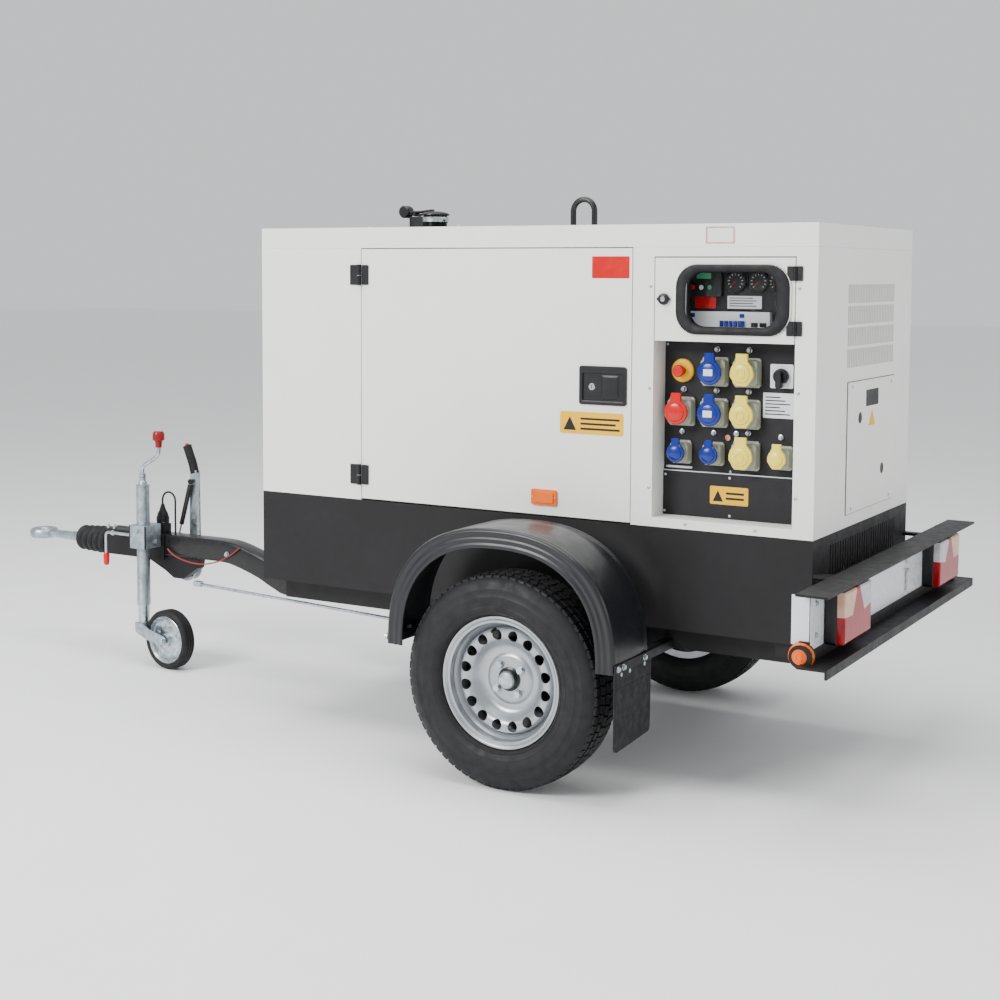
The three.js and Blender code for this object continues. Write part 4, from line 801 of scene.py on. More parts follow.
def rear_face():
    """A baffle behind the vent grid, the lower access panel with its pulls, the roof label, and brackets
    under the base.
    """
    low_y, high_y, low_z, high_z = -172 * MM, 246 * MM, WALL_TOP - 327 * MM, WALL_TOP - 94 * MM
    # The baffle's mid-grey is painted shade: it stands for the light baffle in the shadow behind the vent
    # grid.
    baffle = Shape()
    baffle.slab(rounded(low_y - 30 * MM, high_y + 30 * MM, low_z - 30 * MM, high_z + 20 * MM, 8 * MM), "x",
                REAR - 42 * MM, REAR - 38 * MM)
    baffle.piece("vent_baffle", "trailer", SILVER)
    panel = Shape()
    panel.slab(rounded(-163 * MM, 260 * MM, 755 * MM, 1114 * MM, 3 * MM), "x", REAR + 0.9 * MM,
               REAR + 3 * MM)
    panel.paint = 1
    # The black plate, a few millimetres larger than the panel and behind it, is a painted shadow in the gap
    # round the panel.
    panel.slab(rounded(-166 * MM, 262 * MM, 753 * MM, 1116 * MM, 3 * MM), "x", REAR - 0.3 * MM,
               REAR + 1 * MM)
    panel.slab(rounded(-8 * MM, 104 * MM, 1040 * MM, 1086 * MM, 2 * MM), "x", REAR + 2 * MM,
               REAR + 3.6 * MM)
    for y, z in ((-58, 1012), (150, 852)):
        panel.slab(circle((y * MM, z * MM), 16 * MM, 28), "x", REAR + 2 * MM, REAR + 3.3 * MM)
    panel.paint = 2
    panel.slab(mm((18, 984), (78, 984), (48, 1030)), "x", REAR + 2 * MM, REAR + 3.3 * MM)
    panel.piece("access_panel", "trailer", (WHITE, PLASTIC, LABEL_YELLOW), edge=0.3 * MM)
    notice = Shape()
    notice.slab(rounded(ahead(310), ahead(228), WALL_TOP + 8 * MM, ROOF - 8 * MM, 3 * MM), "y",
                NEAR - 0.5 * MM,
                NEAR + 0.3 * MM)
    notice.paint = 1
    notice.slab(rounded(ahead(305), ahead(233), WALL_TOP + 12 * MM, ROOF - 12 * MM, 2 * MM), "y",
                NEAR - 0.8 * MM,
                NEAR - 0.3 * MM)
    notice.piece("roof_label", "trailer", (PALE_LENS, LABEL_WHITE))
    under = Shape()
    under.slab(rounded(ahead(105), ahead(74), 391 * MM, 441.6 * MM, 5 * MM), "y", -388 * MM, -345 * MM)
    under.slab([(ahead(424), 409 * MM), (ahead(310), 409 * MM), (ahead(310), 392 * MM),
                (ahead(332), 379 * MM),
                (ahead(402), 379 * MM), (ahead(424), 392 * MM)], "y", -312 * MM, -304 * MM)
    under.piece("underside_brackets", "trailer", BLACK, edge=1 * MM)


# ---------------------------------------------------------------- instruments behind the window
def instruments():
    low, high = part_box("instrument_panel")
    face = PANEL_Y
    unit = Shape()
    x0, x1, z0, z1 = low.x + 66 * MM, low.x + 168 * MM, high.z - 106 * MM, high.z - 31 * MM
    unit.slab(rounded(x0, x1, z0, z1, 6 * MM), "y", face - 15.5 * MM, face + 0.2 * MM)
    unit.paint = 1
    unit.slab(rounded(x0 + 30 * MM, x0 + 72 * MM, z1 - 28 * MM, z1 - 12 * MM, 2 * MM), "y",
              face - 16.4 * MM,
              face - 15 * MM)
    for paint, x in ((2, 20), (3, 44), (1, 68)):
        unit.paint = paint
        unit.turned("y", (x0 + x * MM, face - 15 * MM, z0 + 24 * MM), mm((0, 0), (6.5, 0), (6, -2.5),
                                                                         (0, -3)), 20)
    unit.piece("controller", "trailer", (PLASTIC, GREEN, RED, LABEL_WHITE), edge=0.6 * MM)
    for index, offset in enumerate((205, 270, 323)):
        gauge(f"gauge_{index + 1}", low.x + offset * MM, high.z - 66 * MM, face)
    row = Shape()
    z = high.z - 226 * MM
    row.slab(rounded(low.x + 73 * MM, low.x + 307 * MM, z + 26 * MM, z + 80 * MM, 2 * MM), "y",
             face - 18.6 * MM,
             face + 0.2 * MM)
    row.paint = 1
    for start, count in ((82, 1), (168, 5), (228, 1)):
        for i in range(count):
            x = low.x + (start + 13 * i) * MM
            row.slab(rounded(x, x + 9 * MM, z + 40 * MM, z + 56 * MM, 1.5 * MM, 2), "y", face - 26 * MM,
                     face - 18 * MM)
    row.paint = 2
    for start in (256, 280):
        x = low.x + start * MM
        row.slab(rounded(x, x + 18 * MM, z + 40 * MM, z + 52 * MM, 1.5 * MM, 2), "y", face - 23 * MM,
                 face - 18 * MM)
    row.paint = 1
    for start in (80, 222):
        x = low.x + start * MM
        row.slab(rounded(x, x + 14 * MM, z + 64 * MM, z + 75 * MM, 1 * MM, 2), "y", face - 19.2 * MM,
                 face - 18 * MM)
    row.piece("breaker_row", "trailer", (LABEL_WHITE, BLUE, PLASTIC), edge=0.5 * MM)
    cards = Shape()
    cards.slab(rounded(low.x + 87 * MM, low.x + 147 * MM, z + 88 * MM, z + 118 * MM, 2 * MM), "y",
               face - 0.8 * MM,
               face + 0.2 * MM)
    cards.paint = 1
    cards.slab(rounded(low.x + 180 * MM, low.x + 277 * MM, z + 88 * MM, z + 122 * MM, 2 * MM), "y",
               face - 0.8 * MM,
               face + 0.2 * MM)
    cards.paint = 2
    for i in range(4):
        cards.box((low.x + 186 * MM, face - 1.1 * MM, z + (94 + 7 * i) * MM),
                  (low.x + (262 - 9 * (i % 2)) * MM, face - 0.6 * MM, z + (96.4 + 7 * i) * MM))
    cards.piece("instrument_labels", "trailer", (RED, LABEL_WHITE, PLASTIC))


def gauge(name, x, z, face):
    """Round dial: bezel, dark face with marks, needle."""
    shape = Shape()
    at_face = (x, face, z)
    shape.turned("y", at_face, mm((0, 0.2), (29, 0.2), (29, -8), (27, -9.6), (24, -9.6), (23, -8.6),
                                  (0, -8.6)), 36)
    shape.paint = 1
    for i in range(11):
        angle = math.radians(225 - 27 * i)
        u, v = math.cos(angle), math.sin(angle)
        shape.rings([[(x + u * r * MM - v * w * MM, face - 9 * MM + d, z + v * r * MM + u * w * MM)
                      for r, w in ((17, -0.7), (21.5, -0.7), (21.5, 0.7), (17, 0.7))] for d in (0,
                              0.6 * MM)])
    shape.paint = 2
    shape.rings([[(x + u * MM, face - 9.4 * MM + d, z + v * MM) for u, v in ((-12, -10.8), (-10.8, -12),
                                                                             (1, 0), (0, 1))]
                 for d in (0, 0.5 * MM)])
    shape.piece(name, "trailer", (PLASTIC, LABEL_WHITE, RED), sharp=30)


# ---------------------------------------------------------------- socket panel
LIDS = ("lid_blue_32a_upper", "lid_yellow_32a_upper", "lid_red_5pin", "lid_blue_32a_lower",
        "lid_yellow_32a_middle",
        "lid_blue_16a_front", "lid_blue_16a_rear", "lid_yellow_32a_lower", "lid_yellow_16a")
LID_FINISH = {"blue": BLUE, "yellow": YELLOW, "red": RED}


def socket(name):
    """Grey housing with its screwed flange and slanted body, and the coloured spring lid in front."""
    low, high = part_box(name)
    radius = (high.x - low.x) / 2
    big = radius > 30 * MM
    x, z = (low.x + high.x) / 2, low.z + radius
    wide, high_flange = ((74, 79) if big else (56, 64))
    body_radius = 32 * MM if big else 24 * MM
    back = PANEL_Y
    front = high.y + 0.1 * MM
    shape = Shape()
    shape.slab(rounded(x - wide / 2 * MM, x + wide / 2 * MM, z - high_flange / 2 * MM,
                       z + high_flange / 2 * MM,
                       6 * MM), "y", back - 9 * MM, back + 0.2 * MM)
    tail = [(0.98, 0.9, -8), (1.0, 0.86, -16), (0.93, 0.84, -28)]
    rings = []
    for share_x, share_z, y in tail:
        rings.append([along("y", u, v, back + y * MM) for u, v in rounded(
            x - wide / 2 * MM * share_x, x + wide / 2 * MM * share_x, z - high_flange / 2 * MM * share_z,
            z + high_flange / 2 * MM * share_z, 10 * MM)])
    shape.rings(rings)
    shape.turned("y", (x, back, z), [(0, -20 * MM), (body_radius, -20 * MM),
                                     (body_radius, front - back + 3 * MM),
                                     (body_radius - 1.5 * MM, front - back), (0, front - back)], 36)
    shape.paint = 1
    for dx in (-1, 1):
        for dz in (-1, 1):
            shape.screw((x + dx * (wide / 2 - 6) * MM, back - 9 * MM,
                         z + dz * (high_flange / 2 - 6) * MM), "y", -1,
                        3 * MM)
    shape.piece(f"housing_{name[4:]}", "trailer", (HOUSING, ZINC), edge=1 * MM, sharp=32)
    lid(name, x, z, radius, low, high)
    if big:
        stud = Shape()
        at_stud = (x + 3 * MM, back, z + 60 * MM)
        stud.turned("y", at_stud, mm((0, 0.2), (8, 0.2), (8, -4), (6, -5), (5, -12), (0, -12)), 14)
        stud.piece(f"stud_{name[4:]}", "trailer", (STEEL,), sharp=30)


def lid(name, x, z, radius, low, high):
    colour = name.split("_")[1]
    back, front = high.y, low.y
    r = radius
    if colour == "yellow":
        outline = [(-0.98, 0.1), (-0.98, -0.25), (-0.62, -0.8), (-0.42, -1), (0.42, -1), (0.62, -0.8),
                   (0.98, -0.25),
                   (0.98, 0.1), (0.86, 0.5), (0.58, 0.86), (0.5, 0.98), (0.5, 1.5), (0.46, 1.55),
                   (-0.46, 1.55),
                   (-0.5, 1.5), (-0.5, 0.98), (-0.58, 0.86), (-0.86, 0.5)]
    else:
        round_part = arc((0, 0), 1, 118, 422, 30)
        outline = round_part + [(0.45, 1.0), (0.45, 1.45), (0.38, 1.55), (-0.38, 1.55), (-0.45, 1.45),
                                (-0.45, 1.0)]
    shape = Shape()
    layers = ((0.97, back), (1.0, back - 2 * MM), (1.0, front + 3 * MM), (0.93, front + 0.8 * MM),
              (0.8, front))
    shape.rings([[along("y", x + u * r * share, z + v * r * (share if v < 1 else 0.97 + 0.03 * share), y)
                  for u, v in outline] for share, y in layers])
    shape.turned("y", (x, front, z), [(0, 1 * MM), (r * 0.78, 1 * MM), (r * 0.7, -3 * MM),
                                      (r * 0.45, -5.5 * MM),
                                      (0, -6.5 * MM)], 36)
    shape.paint = 1
    if colour == "blue" and r > 30 * MM:
        shape.slab(rounded(x - 13 * MM, x + 13 * MM, z - 9 * MM, z + 9 * MM, 1.5 * MM, 2), "y",
                   front - 7.4 * MM,
                   front - 4 * MM)
    if colour == "yellow" and r > 30 * MM:
        shape.paint = 0
        shape.turned("y", (x, front, z), mm((9, -5), (9, -7.6), (13, -7.6), (13, -5)), 28, closed=True)
    shape.piece(f"{name}_moulded", name, (LID_FINISH[colour], LABEL_WHITE), replaces=name, edge=0.8 * MM,
                sharp=32)


def panel_controls():
    """Emergency stop, selector, data plate, terminal cover strip, earth studs and panel screws."""
    face = PANEL_Y
    low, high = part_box("estop_button")
    x, z = (low.x + high.x) / 2, (low.z + high.z) / 2
    collar = Shape()
    collar.turned("y", (x, face, z), mm((11, -0.1), (32, -0.1), (32, -8), (28, -10.5), (15, -11.5),
                                        (11, -10)), 40, closed=True)
    collar.piece("estop_collar", "trailer", (LABEL_YELLOW,), sharp=30)
    button = Shape()
    button.turned("y", (x, face, z), mm((0, -8.8), (10, -8.8), (10, -26), (15, -28), (17, -31), (17, -36),
                                        (14.5, -40), (10, -41), (5, -40), (0, -40)), 36)
    button.piece("estop_head", "estop", (RED,), replaces="estop_button", sharp=30)
    low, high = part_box("selector_knob")
    x, z = (low.x + high.x) / 2, high.z - 20 * MM
    plate = Shape()
    plate.slab(rounded(x - 32 * MM, x + 32 * MM, z - 32 * MM, z + 32 * MM, 4 * MM), "y", face - 4.3 * MM,
               face + 0.1 * MM)
    plate.paint = 1
    for angle in (30, 90, 150):
        u, v = math.cos(math.radians(angle)), math.sin(math.radians(angle))
        plate.box((x + u * 27 * MM - 1 * MM, face - 4.7 * MM, z + v * 27 * MM - 1 * MM),
                  (x + u * 27 * MM + 1 * MM, face - 4 * MM, z + v * 27 * MM + 1 * MM))
    plate.piece("selector_plate", "trailer", (LABEL_WHITE, PLASTIC), edge=0.6 * MM)
    knob = Shape()
    knob.turned("y", (x, face, z), mm((0, -4.8), (21, -4.8), (20, -18), (18, -20), (0, -20)), 36)
    knob.slab([(x + u * MM, z + v * MM) for u, v in ((-8, 10), (-8, -27), (-5, -30), (5, -30), (8, -27),
                                                     (8, 10),
                                                     (4, 15), (-4, 15))], "y", face - 34 * MM,
              face - 12 * MM)
    knob.piece("selector_grip", "selector", (PLASTIC,), replaces="selector_knob", edge=1.2 * MM)
    trim = Shape()
    low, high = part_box("socket_panel")
    cover_top = low.z + 123 * MM
    trim.box((low.x, face - 6 * MM, cover_top - 1.5 * MM), (high.x, face - 0.2 * MM, cover_top + 1.5 * MM))
    trim.paint = 1
    trim.slab(rounded(ahead(172), ahead(86), 1025 * MM, 1092 * MM, 2 * MM), "y", face - 1 * MM,
              face + 0.1 * MM)
    trim.slab(rounded(ahead(450), ahead(374), 875 * MM, 881 * MM, 1 * MM, 2), "y", face - 0.8 * MM,
              face + 0.1 * MM)
    trim.paint = 2
    trim.slab(rounded(ahead(318), ahead(208), 784 * MM, 833 * MM, 4 * MM), "y", face - 5.8 * MM,
              face - 4.8 * MM)
    trim.paint = 3
    trim.rings([[along("y", u, v, a) for u, v in ((ahead(310), 792 * MM), (ahead(280), 792 * MM),
                                                  (ahead(295), 822 * MM))]
                for a in (face - 6.1 * MM, face - 5.6 * MM)])
    for i in range(2):
        trim.box((ahead(272), face - 6.1 * MM, (798 + 14 * i) * MM), (ahead(220), face - 5.6 * MM,
                                                                      (804 + 14 * i) * MM))
    for i in range(6):
        trim.box((ahead(166), face - 1.3 * MM, (1034 + 9 * i) * MM),
                 (ahead(96 + 14 * (i % 3)), face - 0.8 * MM, (1037 + 9 * i) * MM))
    trim.paint = 4
    for sx, sz in ((451, 1214), (449, 878), (262, 873), (66, 1214), (66, 878)):
        trim.screw((ahead(sx), face, sz * MM), "y", -1, 4 * MM)
    for sx, sz in ((451, 856), (453, 755), (262, 857), (261, 754), (68, 856), (68, 755)):
        trim.screw((ahead(sx), face - 5 * MM, sz * MM), "y", -1, 4 * MM)
    for sx, sz in ((311, 977), (246, 978), (120, 975), (404, 976)):
        trim.turned("y", (ahead(sx), face, sz * MM), mm((0, 0.2), (7.5, 0.2), (7.5, -4), (4, -5),
                                                        (4, -10), (0, -10)), 12)
    trim.paint = 5
    trim.turned("y", (ahead(269), face, 966 * MM), mm((0, 0.2), (8, 0.2), (8, -6), (0, -7)),
                16)
    trim.piece("panel_trim", "trailer", (STEEL, LABEL_WHITE, LABEL_YELLOW, PLASTIC, ZINC, COPPER))


# ---------------------------------------------------------------- roof
def lifting_eye():
    low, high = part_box("lifting_eye")
    middle, r = (low.x + high.x) / 2, 36 * MM
    centre = (middle, high.z - 9 * MM - r)
    line = [(middle + r, 0, ROOF + 1 * MM), (middle + r, 0, ROOF + 30 * MM)]
    line += [(u, 0, v) for u, v in arc(centre, r, 0, 180, 12)]
    line += [(middle - r, 0, ROOF + 30 * MM), (middle - r, 0, ROOF + 1 * MM)]
    shape = Shape().tube(line, 9 * MM, 16, 3)
    shape.slab(rounded(low.x, high.x, low.y, high.y, 10 * MM), "z", ROOF + 0.3 * MM, ROOF + 5.3 * MM)
    shape.paint = 1
    for dx in (-52, 52):
        for dy in (-28, 28):
            shape.bolt((middle + dx * MM, dy * MM, ROOF + 5.3 * MM), "z", 1, 11 * MM, 5 * MM)
    shape.piece("lifting_eye_bar", "trailer", (GLOSS_BLACK, ZINC), replaces="lifting_eye", edge=0.8 * MM)


def exhaust():
    """Roof plate, outlet pipe with its clamp, and the weighted flap. The silencer inside stays hidden."""
    low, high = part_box("exhaust_outlet")
    flap_low, flap_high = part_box("exhaust_flap")
    x = flap_high.x - 46 * MM
    top = high.z
    shape = Shape()
    shape.slab(rounded(x - 193.5 * MM, x + 193.5 * MM, -150 * MM, 150 * MM, 8 * MM), "z", ROOF + 0.3 * MM,
               ROOF + 6 * MM)
    shape.turned("z", (x, 0, 0), [(34 * MM, WALL_TOP), (38 * MM, WALL_TOP), (38 * MM, top - 34 * MM),
                                  (40 * MM, top - 30 * MM),
                                  (38 * MM, top - 26 * MM), (38 * MM, top - 1 * MM), (36 * MM, top),
                                  (34 * MM, top - 1 * MM)],
                 40, closed=True)
    shape.slab(rounded(flap_low.x + 40 * MM, x - 34 * MM, -16 * MM, 16 * MM, 5 * MM), "z", ROOF + 5 * MM,
               top - 12 * MM)
    shape.paint = 1
    shape.turned("z", (x, 0, top - 22 * MM), mm((37, -8), (42, -8), (42, 8), (37, 8)),
                 40, closed=True)
    shape.bolt((x + 40 * MM, -14 * MM, top - 22 * MM), "y", -1, 11 * MM, 9 * MM)
    for dx in (-170, 170):
        for dy in (-128, 128):
            shape.bolt((x + dx * MM, dy * MM, ROOF + 6 * MM), "z", 1, 11 * MM, 5 * MM)
    shape.turned("x", ((x + 120 * MM), 0, WALL_TOP - 130 * MM), mm((0, -310), (60, -310), (85, -290),
                                                                   (85, 290), (60, 310), (0, 310)), 32)
    shape.piece("exhaust_pipe", "trailer", (GLOSS_BLACK, ZINC), replaces="exhaust_outlet", edge=0.8 * MM)
    flap = Shape()
    z = flap_low.z
    flap.turned("z", (x, 0, z), mm((0, 0), (44, 0), (46, 2), (45, 6), (38, 10), (16, 14), (0, 15)), 40)
    arm_low = flap_low.x + 20 * MM
    flap.sweep([Vector((arm_low, 0, z + 12 * MM)), Vector((arm_low + 60 * MM, 0, z + 13 * MM)),
                Vector((x - 10 * MM, 0, z + 17 * MM))], rounded(-11 * MM, 11 * MM, -4 * MM, 4 * MM,
                                                                3 * MM, 3))
    flap.turned("y", (arm_low, 0, z + 14 * MM), mm((0, -17), (17, -17), (20, -14), (20, 14), (17, 17),
                                                   (0, 17)), 32)
    flap.turned("y", (arm_low + 42 * MM, 0, z + 4 * MM), mm((0, -20), (5, -20), (5, 20), (0, 20)), 16)
    flap.piece("exhaust_flap_cast", "exhaust_flap", GLOSS_BLACK, replaces="exhaust_flap", edge=0.8 * MM)


# ---------------------------------------------------------------- rear lights
def light_board():
    """White board with folded ends, over the black bar; edge bolts, plate clips and round markers."""
    low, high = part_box("light_bar")
    lamp_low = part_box("lamp_near")[0]
    face = lamp_low.x - 0.3 * MM
    board = Shape()
    board.slab([(-645 * MM, 487 * MM), (645 * MM, 487 * MM), (645 * MM, high.z - 6.2 * MM),
                (-645 * MM, high.z - 6.2 * MM)], "x", face - 3.4 * MM, face + 0.1 * MM)
    for side in (-1, 1):
        y0, y1 = sorted((side * 640.5 * MM, side * 645 * MM))
        board.slab([(y0, 500 * MM), (y1, 500 * MM), (y1, 623 * MM), (y0, 623 * MM)], "x", face - 49 * MM,
                   face)
        board.paint = 0
    board.paint = 1
    for side in (-1, 1):
        for z in (520, 600):
            board.bolt((face, side * 606 * MM, z * MM), "x", 1, 10 * MM, 4 * MM)
    board.piece("light_board_white", "trailer", (BOARD, ZINC), edge=0.6 * MM)
    clips = Shape()
    for y in (-312, 158):
        for low_z, high_z, half, proud in ((503, 556, 6, 4), (556, 566, 9, 9), (584, 604, 10, 6)):
            clips.slab(rounded((y - half) * MM, (y + half) * MM, low_z * MM, high_z * MM, 3 * MM), "x",
                       face - 0.5 * MM, face + proud * MM)
        clips.screw((face + 4 * MM, y * MM, 512 * MM), "x", 1, 3.5 * MM)
    clips.piece("plate_clips", "trailer", ZINC, edge=0.8 * MM)
    for word, side in SIDES:
        marker = Shape()
        at_marker = (face - 20 * MM, -644 * MM, 474 * MM)
        marker.turned("y", at_marker, mm((0, 4), (34, 4), (34, -2), (0, -2)), 36)
        marker.paint = 1
        marker.turned("y", at_marker, mm((0, -1), (33, -1), (33.5, -9), (30, -17), (19, -21), (0, -22)), 36)
        for r in (8, 15, 22):
            marker.turned("y", at_marker, [(r * MM, -20 * MM), (r * MM, -23.6 * MM + r * r * 0.006 * MM),
                                           ((r + 2) * MM, -23.6 * MM + r * r * 0.006 * MM),
                                           ((r + 2) * MM, -18 * MM)],
                          36, closed=True)
        marker.mirrored(side).piece(f"round_marker_{word}", "trailer", (SOFT_RUBBER, AMBER_LENS),
                                    edge=0.6 * MM)


def lamp(word, side):
    """Rear lamp: black tub, amber and clear windows that meet in the peak of the red one."""
    low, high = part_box("lamp_near")
    tub_front = low.x + 33 * MM
    shape = Shape()
    y0, y1, z0, z1 = low.y, high.y, low.z, high.z
    rings = []
    for x, inset in ((low.x, 3), (low.x + 3 * MM, 0), (tub_front - 2 * MM, 0), (tub_front, 1.5)):
        rings.append([along("x", u, v, x) for u, v in rounded(y0 + inset * MM, y1 - inset * MM,
                                                              z0 + inset * MM,
                                                              z1 - inset * MM, 8 * MM)])
    shape.rings(rings)
    width, height = y1 - y0, z1 - z0
    mid_z = z0 + height * 0.52
    peak = y0 + width * 0.5
    red = [(y0, z0), (y1, z0), (y1, mid_z + 0.04 * height), (peak + 0.22 * width, mid_z - 0.02 * height),
           (peak + 0.06 * width, z1), (peak - 0.06 * width, z1), (peak - 0.2 * width,
                                                                  mid_z - 0.02 * height),
           (y0, mid_z)]
    amber = [(y0, mid_z), (peak - 0.2 * width, mid_z - 0.02 * height), (peak - 0.06 * width, z1), (y0, z1)]
    pale = [(y1, mid_z + 0.04 * height), (y1, z1), (peak + 0.06 * width, z1),
            (peak + 0.22 * width, mid_z - 0.02 * height)]
    for paint, outline in ((1, red), (2, amber), (3, pale)):
        shape.paint = paint
        shape.rings([[along("x", clamp(u, y0 + inset, y1 - inset), clamp(v, z0 + inset, z1 - inset), x)
                      for u, v in outline] for x, inset in ((tub_front - 1 * MM, 3 * MM),
                                                            (high.x - 4 * MM, 3.5 * MM),
                                                            (high.x - 1 * MM, 8 * MM))])
    shape.paint = 4
    for z in (z0 + 10 * MM, z1 - 10 * MM):
        shape.screw((high.x - 2 * MM, y0 + 12 * MM, z), "x", 1, 3 * MM)
    shape.mirrored(side).piece(f"lamp_{word}_lenses", "trailer", (PLASTIC, RED_LENS, PALE_LENS,
                                                                  CLEAR_LENS, ZINC),
                               replaces=f"lamp_{word}", edge=0.8 * MM, sharp=30)


def clamp(value, low, high):
    return min(max(value, low), high)


# ---------------------------------------------------------------- towing gear
def drawbar():
    """Bent box tube with round edges."""
    low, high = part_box("drawbar")
    half_height, half_width = 38 * MM, high.y
    start = low.x
    bottom = low.z + half_height
    centre = [(start, 422), (start + 200 * MM, 422), (FRONT - 503 * MM, 422), (FRONT - 433 * MM, 413),
              (FRONT - 328 * MM, 381), (FRONT - 258 * MM, bottom / MM + 18),
              (FRONT - 188 * MM, bottom / MM),
              (FRONT + 60 * MM, bottom / MM), (high.x, bottom / MM)]
    section = rounded(-half_width, half_width, -half_height, half_height, 9 * MM, 4)
    shape = Shape().sweep(smooth_line([(x, 0, z * MM) for x, z in centre], 7), section)
    shape.paint = 1
    shape.bolt((ahead(2267), -half_width - 0.1 * MM, 415 * MM), "y", -1, 13 * MM, 6 * MM)
    shape.piece("drawbar_tube", "trailer", (GLOSS_BLACK, ZINC), replaces="drawbar", sharp=40)


def tow_eye():
    low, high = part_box("tow_eye")
    z = (low.z + high.z) / 2
    centre_x = low.x + 52 * MM
    shape = Shape()
    section = [(52, 0), (51, -10), (46, -16.5), (38, -18), (31, -17.5), (24, -13), (21.2, -6), (21, 0),
               (21.2, 6),
               (24, 13), (31, 17.5), (38, 18), (46, 16.5), (51, 10)]
    shape.turned("z", (centre_x, 0, z), [(r * MM, h * MM) for r, h in section], 56, closed=True)
    stations = ((40, 17, 14), (56, 20, 14), (90, 18, 15), (140, 17, 16), (200, 19, 19), (235, 23.5, 23.5),
                (high.x - centre_x) / MM and (300, 23.7, 23.7), ((high.x - centre_x) / MM, 23.7, 23.7))
    rings = []
    for distance, wide, tall in stations:
        rings.append([(centre_x + distance * MM, wide * MM * math.cos(a), z + tall * MM * math.sin(a))
                      for a in (math.tau * i / 28 for i in range(28))])
    shape.rings(rings)
    shape.bolt((centre_x + 205 * MM, -17.5 * MM, z), "y", -1, 13 * MM, 5 * MM)
    shape.piece("tow_eye_forged", "tow_eye", GALVANISED, replaces="tow_eye", sharp=40)


def bellows():
    low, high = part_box("bellows")
    z = (low.z + high.z) / 2
    folds, start, end = 5, low.x, high.x
    pitch = (end - start) / folds
    profile = [(26 * MM, 0)]
    for i in range(folds):
        size = 35 + 1.5 * i
        profile += [(size * MM, pitch * i), ((size + 8) * MM, pitch * (i + 0.22)),
                    ((size + 11) * MM, pitch * (i + 0.45)),
                    ((size + 9.5) * MM, pitch * (i + 0.7)), ((size + 1) * MM, pitch * (i + 0.96))]
    profile += [(43 * MM, pitch * folds), (26 * MM, pitch * folds)]
    shape = Shape().turned("x", (start, 0, z), profile, 44, closed=True)
    made = shape.piece("bellows_rubber", "trailer", SOFT_RUBBER, replaces="bellows", sharp=60)
    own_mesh(made)


def coupling_details():
    """Bolts and the galvanised clamp over the black coupling body."""
    low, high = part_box("coupling_body")
    stem_low, stem_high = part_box("jockey_stem")
    x, y = (stem_low.x + stem_high.x) / 2, (stem_low.y + stem_high.y) / 2
    shape = Shape()
    for dx in (-140, -40, 40):
        shape.bolt((x + dx * MM - 60 * MM, -40 * MM, 446 * MM), "y", -1, 13 * MM, 6 * MM)
    shape.bolt((x - 200 * MM, 40 * MM, 446 * MM), "y", 1, 13 * MM,
               6 * MM)  # the strut sweeps past the other two
    for dx in (-230, -200):
        shape.turned("z", (x + dx * MM, -30 * MM, 460 * MM), mm((0, -1), (7, -1), (7, 8), (3, 9), (3, 16),
                                                                (0, 16)), 14)
    shape.piece("coupling_bolts", "trailer", ZINC, sharp=30)
    clamp_shape = Shape()
    z0, z1 = 417.6 * MM, 500.4 * MM
    clamp_shape.rings([[(u, v, z) for u, v in rounded(x - 38.6 * MM, x + 38.6 * MM, y - 32.6 * MM,
                                                      -41.2 * MM, 8 * MM)]
                       for z in (z0, z1)])
    clamp_shape.paint = 0
    outer = clamp_shape.piece("clamp_cutting", "trailer", GALVANISED)
    cutter = Shape().turned("z", (x, y, z0), mm((0, -20), (24.3, -20), (24.3, 120), (0, 120)), 40)
    cut_holes(outer, cutter.piece("clamp_cutter", "trailer", GALVANISED))
    final = Shape()
    final.bm.from_mesh(outer.data)
    bpy.data.objects.remove(outer)
    final.bolt((x, y - 32.6 * MM, 480 * MM), "y", -1, 15 * MM, 7 * MM)
    final.bolt((x + 38 * MM, y + 22 * MM, 440 * MM), "x", 1, 13 * MM, 6 * MM)
    final.piece("jockey_clamp_block", "trailer", GALVANISED, edge=0.8 * MM, sharp=30)


def clamp_handle():
    low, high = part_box("clamp_handle")
    y, z = (low.y + high.y) / 2, high.z - 10 * MM
    shape = Shape()
    shape.turned("x", (high.x, y, z), mm((0, 0), (11, 0), (11, -8), (8, -16), (0, -16)), 20)
    corner = low.x + 11 * MM
    shape.tube([(high.x - 12 * MM, y, z), (high.x - 60 * MM, y, z - 0.5 * MM), (corner + 22 * MM, y, z),
                (corner + 3 * MM, y, z - 4 * MM), (corner, y, z - 24 * MM), (corner, y, low.z + 34 * MM)],
               5.5 * MM, 14, 6)
    shape.paint = 1
    shape.turned("z", (corner, y, low.z), mm((0, 0.5), (6, 0.5), (10, 5), (11, 14), (11, 38), (8, 46),
                                             (0, 47)), 24)
    shape.piece("clamp_handle_rod", "clamp_handle", (ZINC, RED), replaces="clamp_handle", sharp=35)


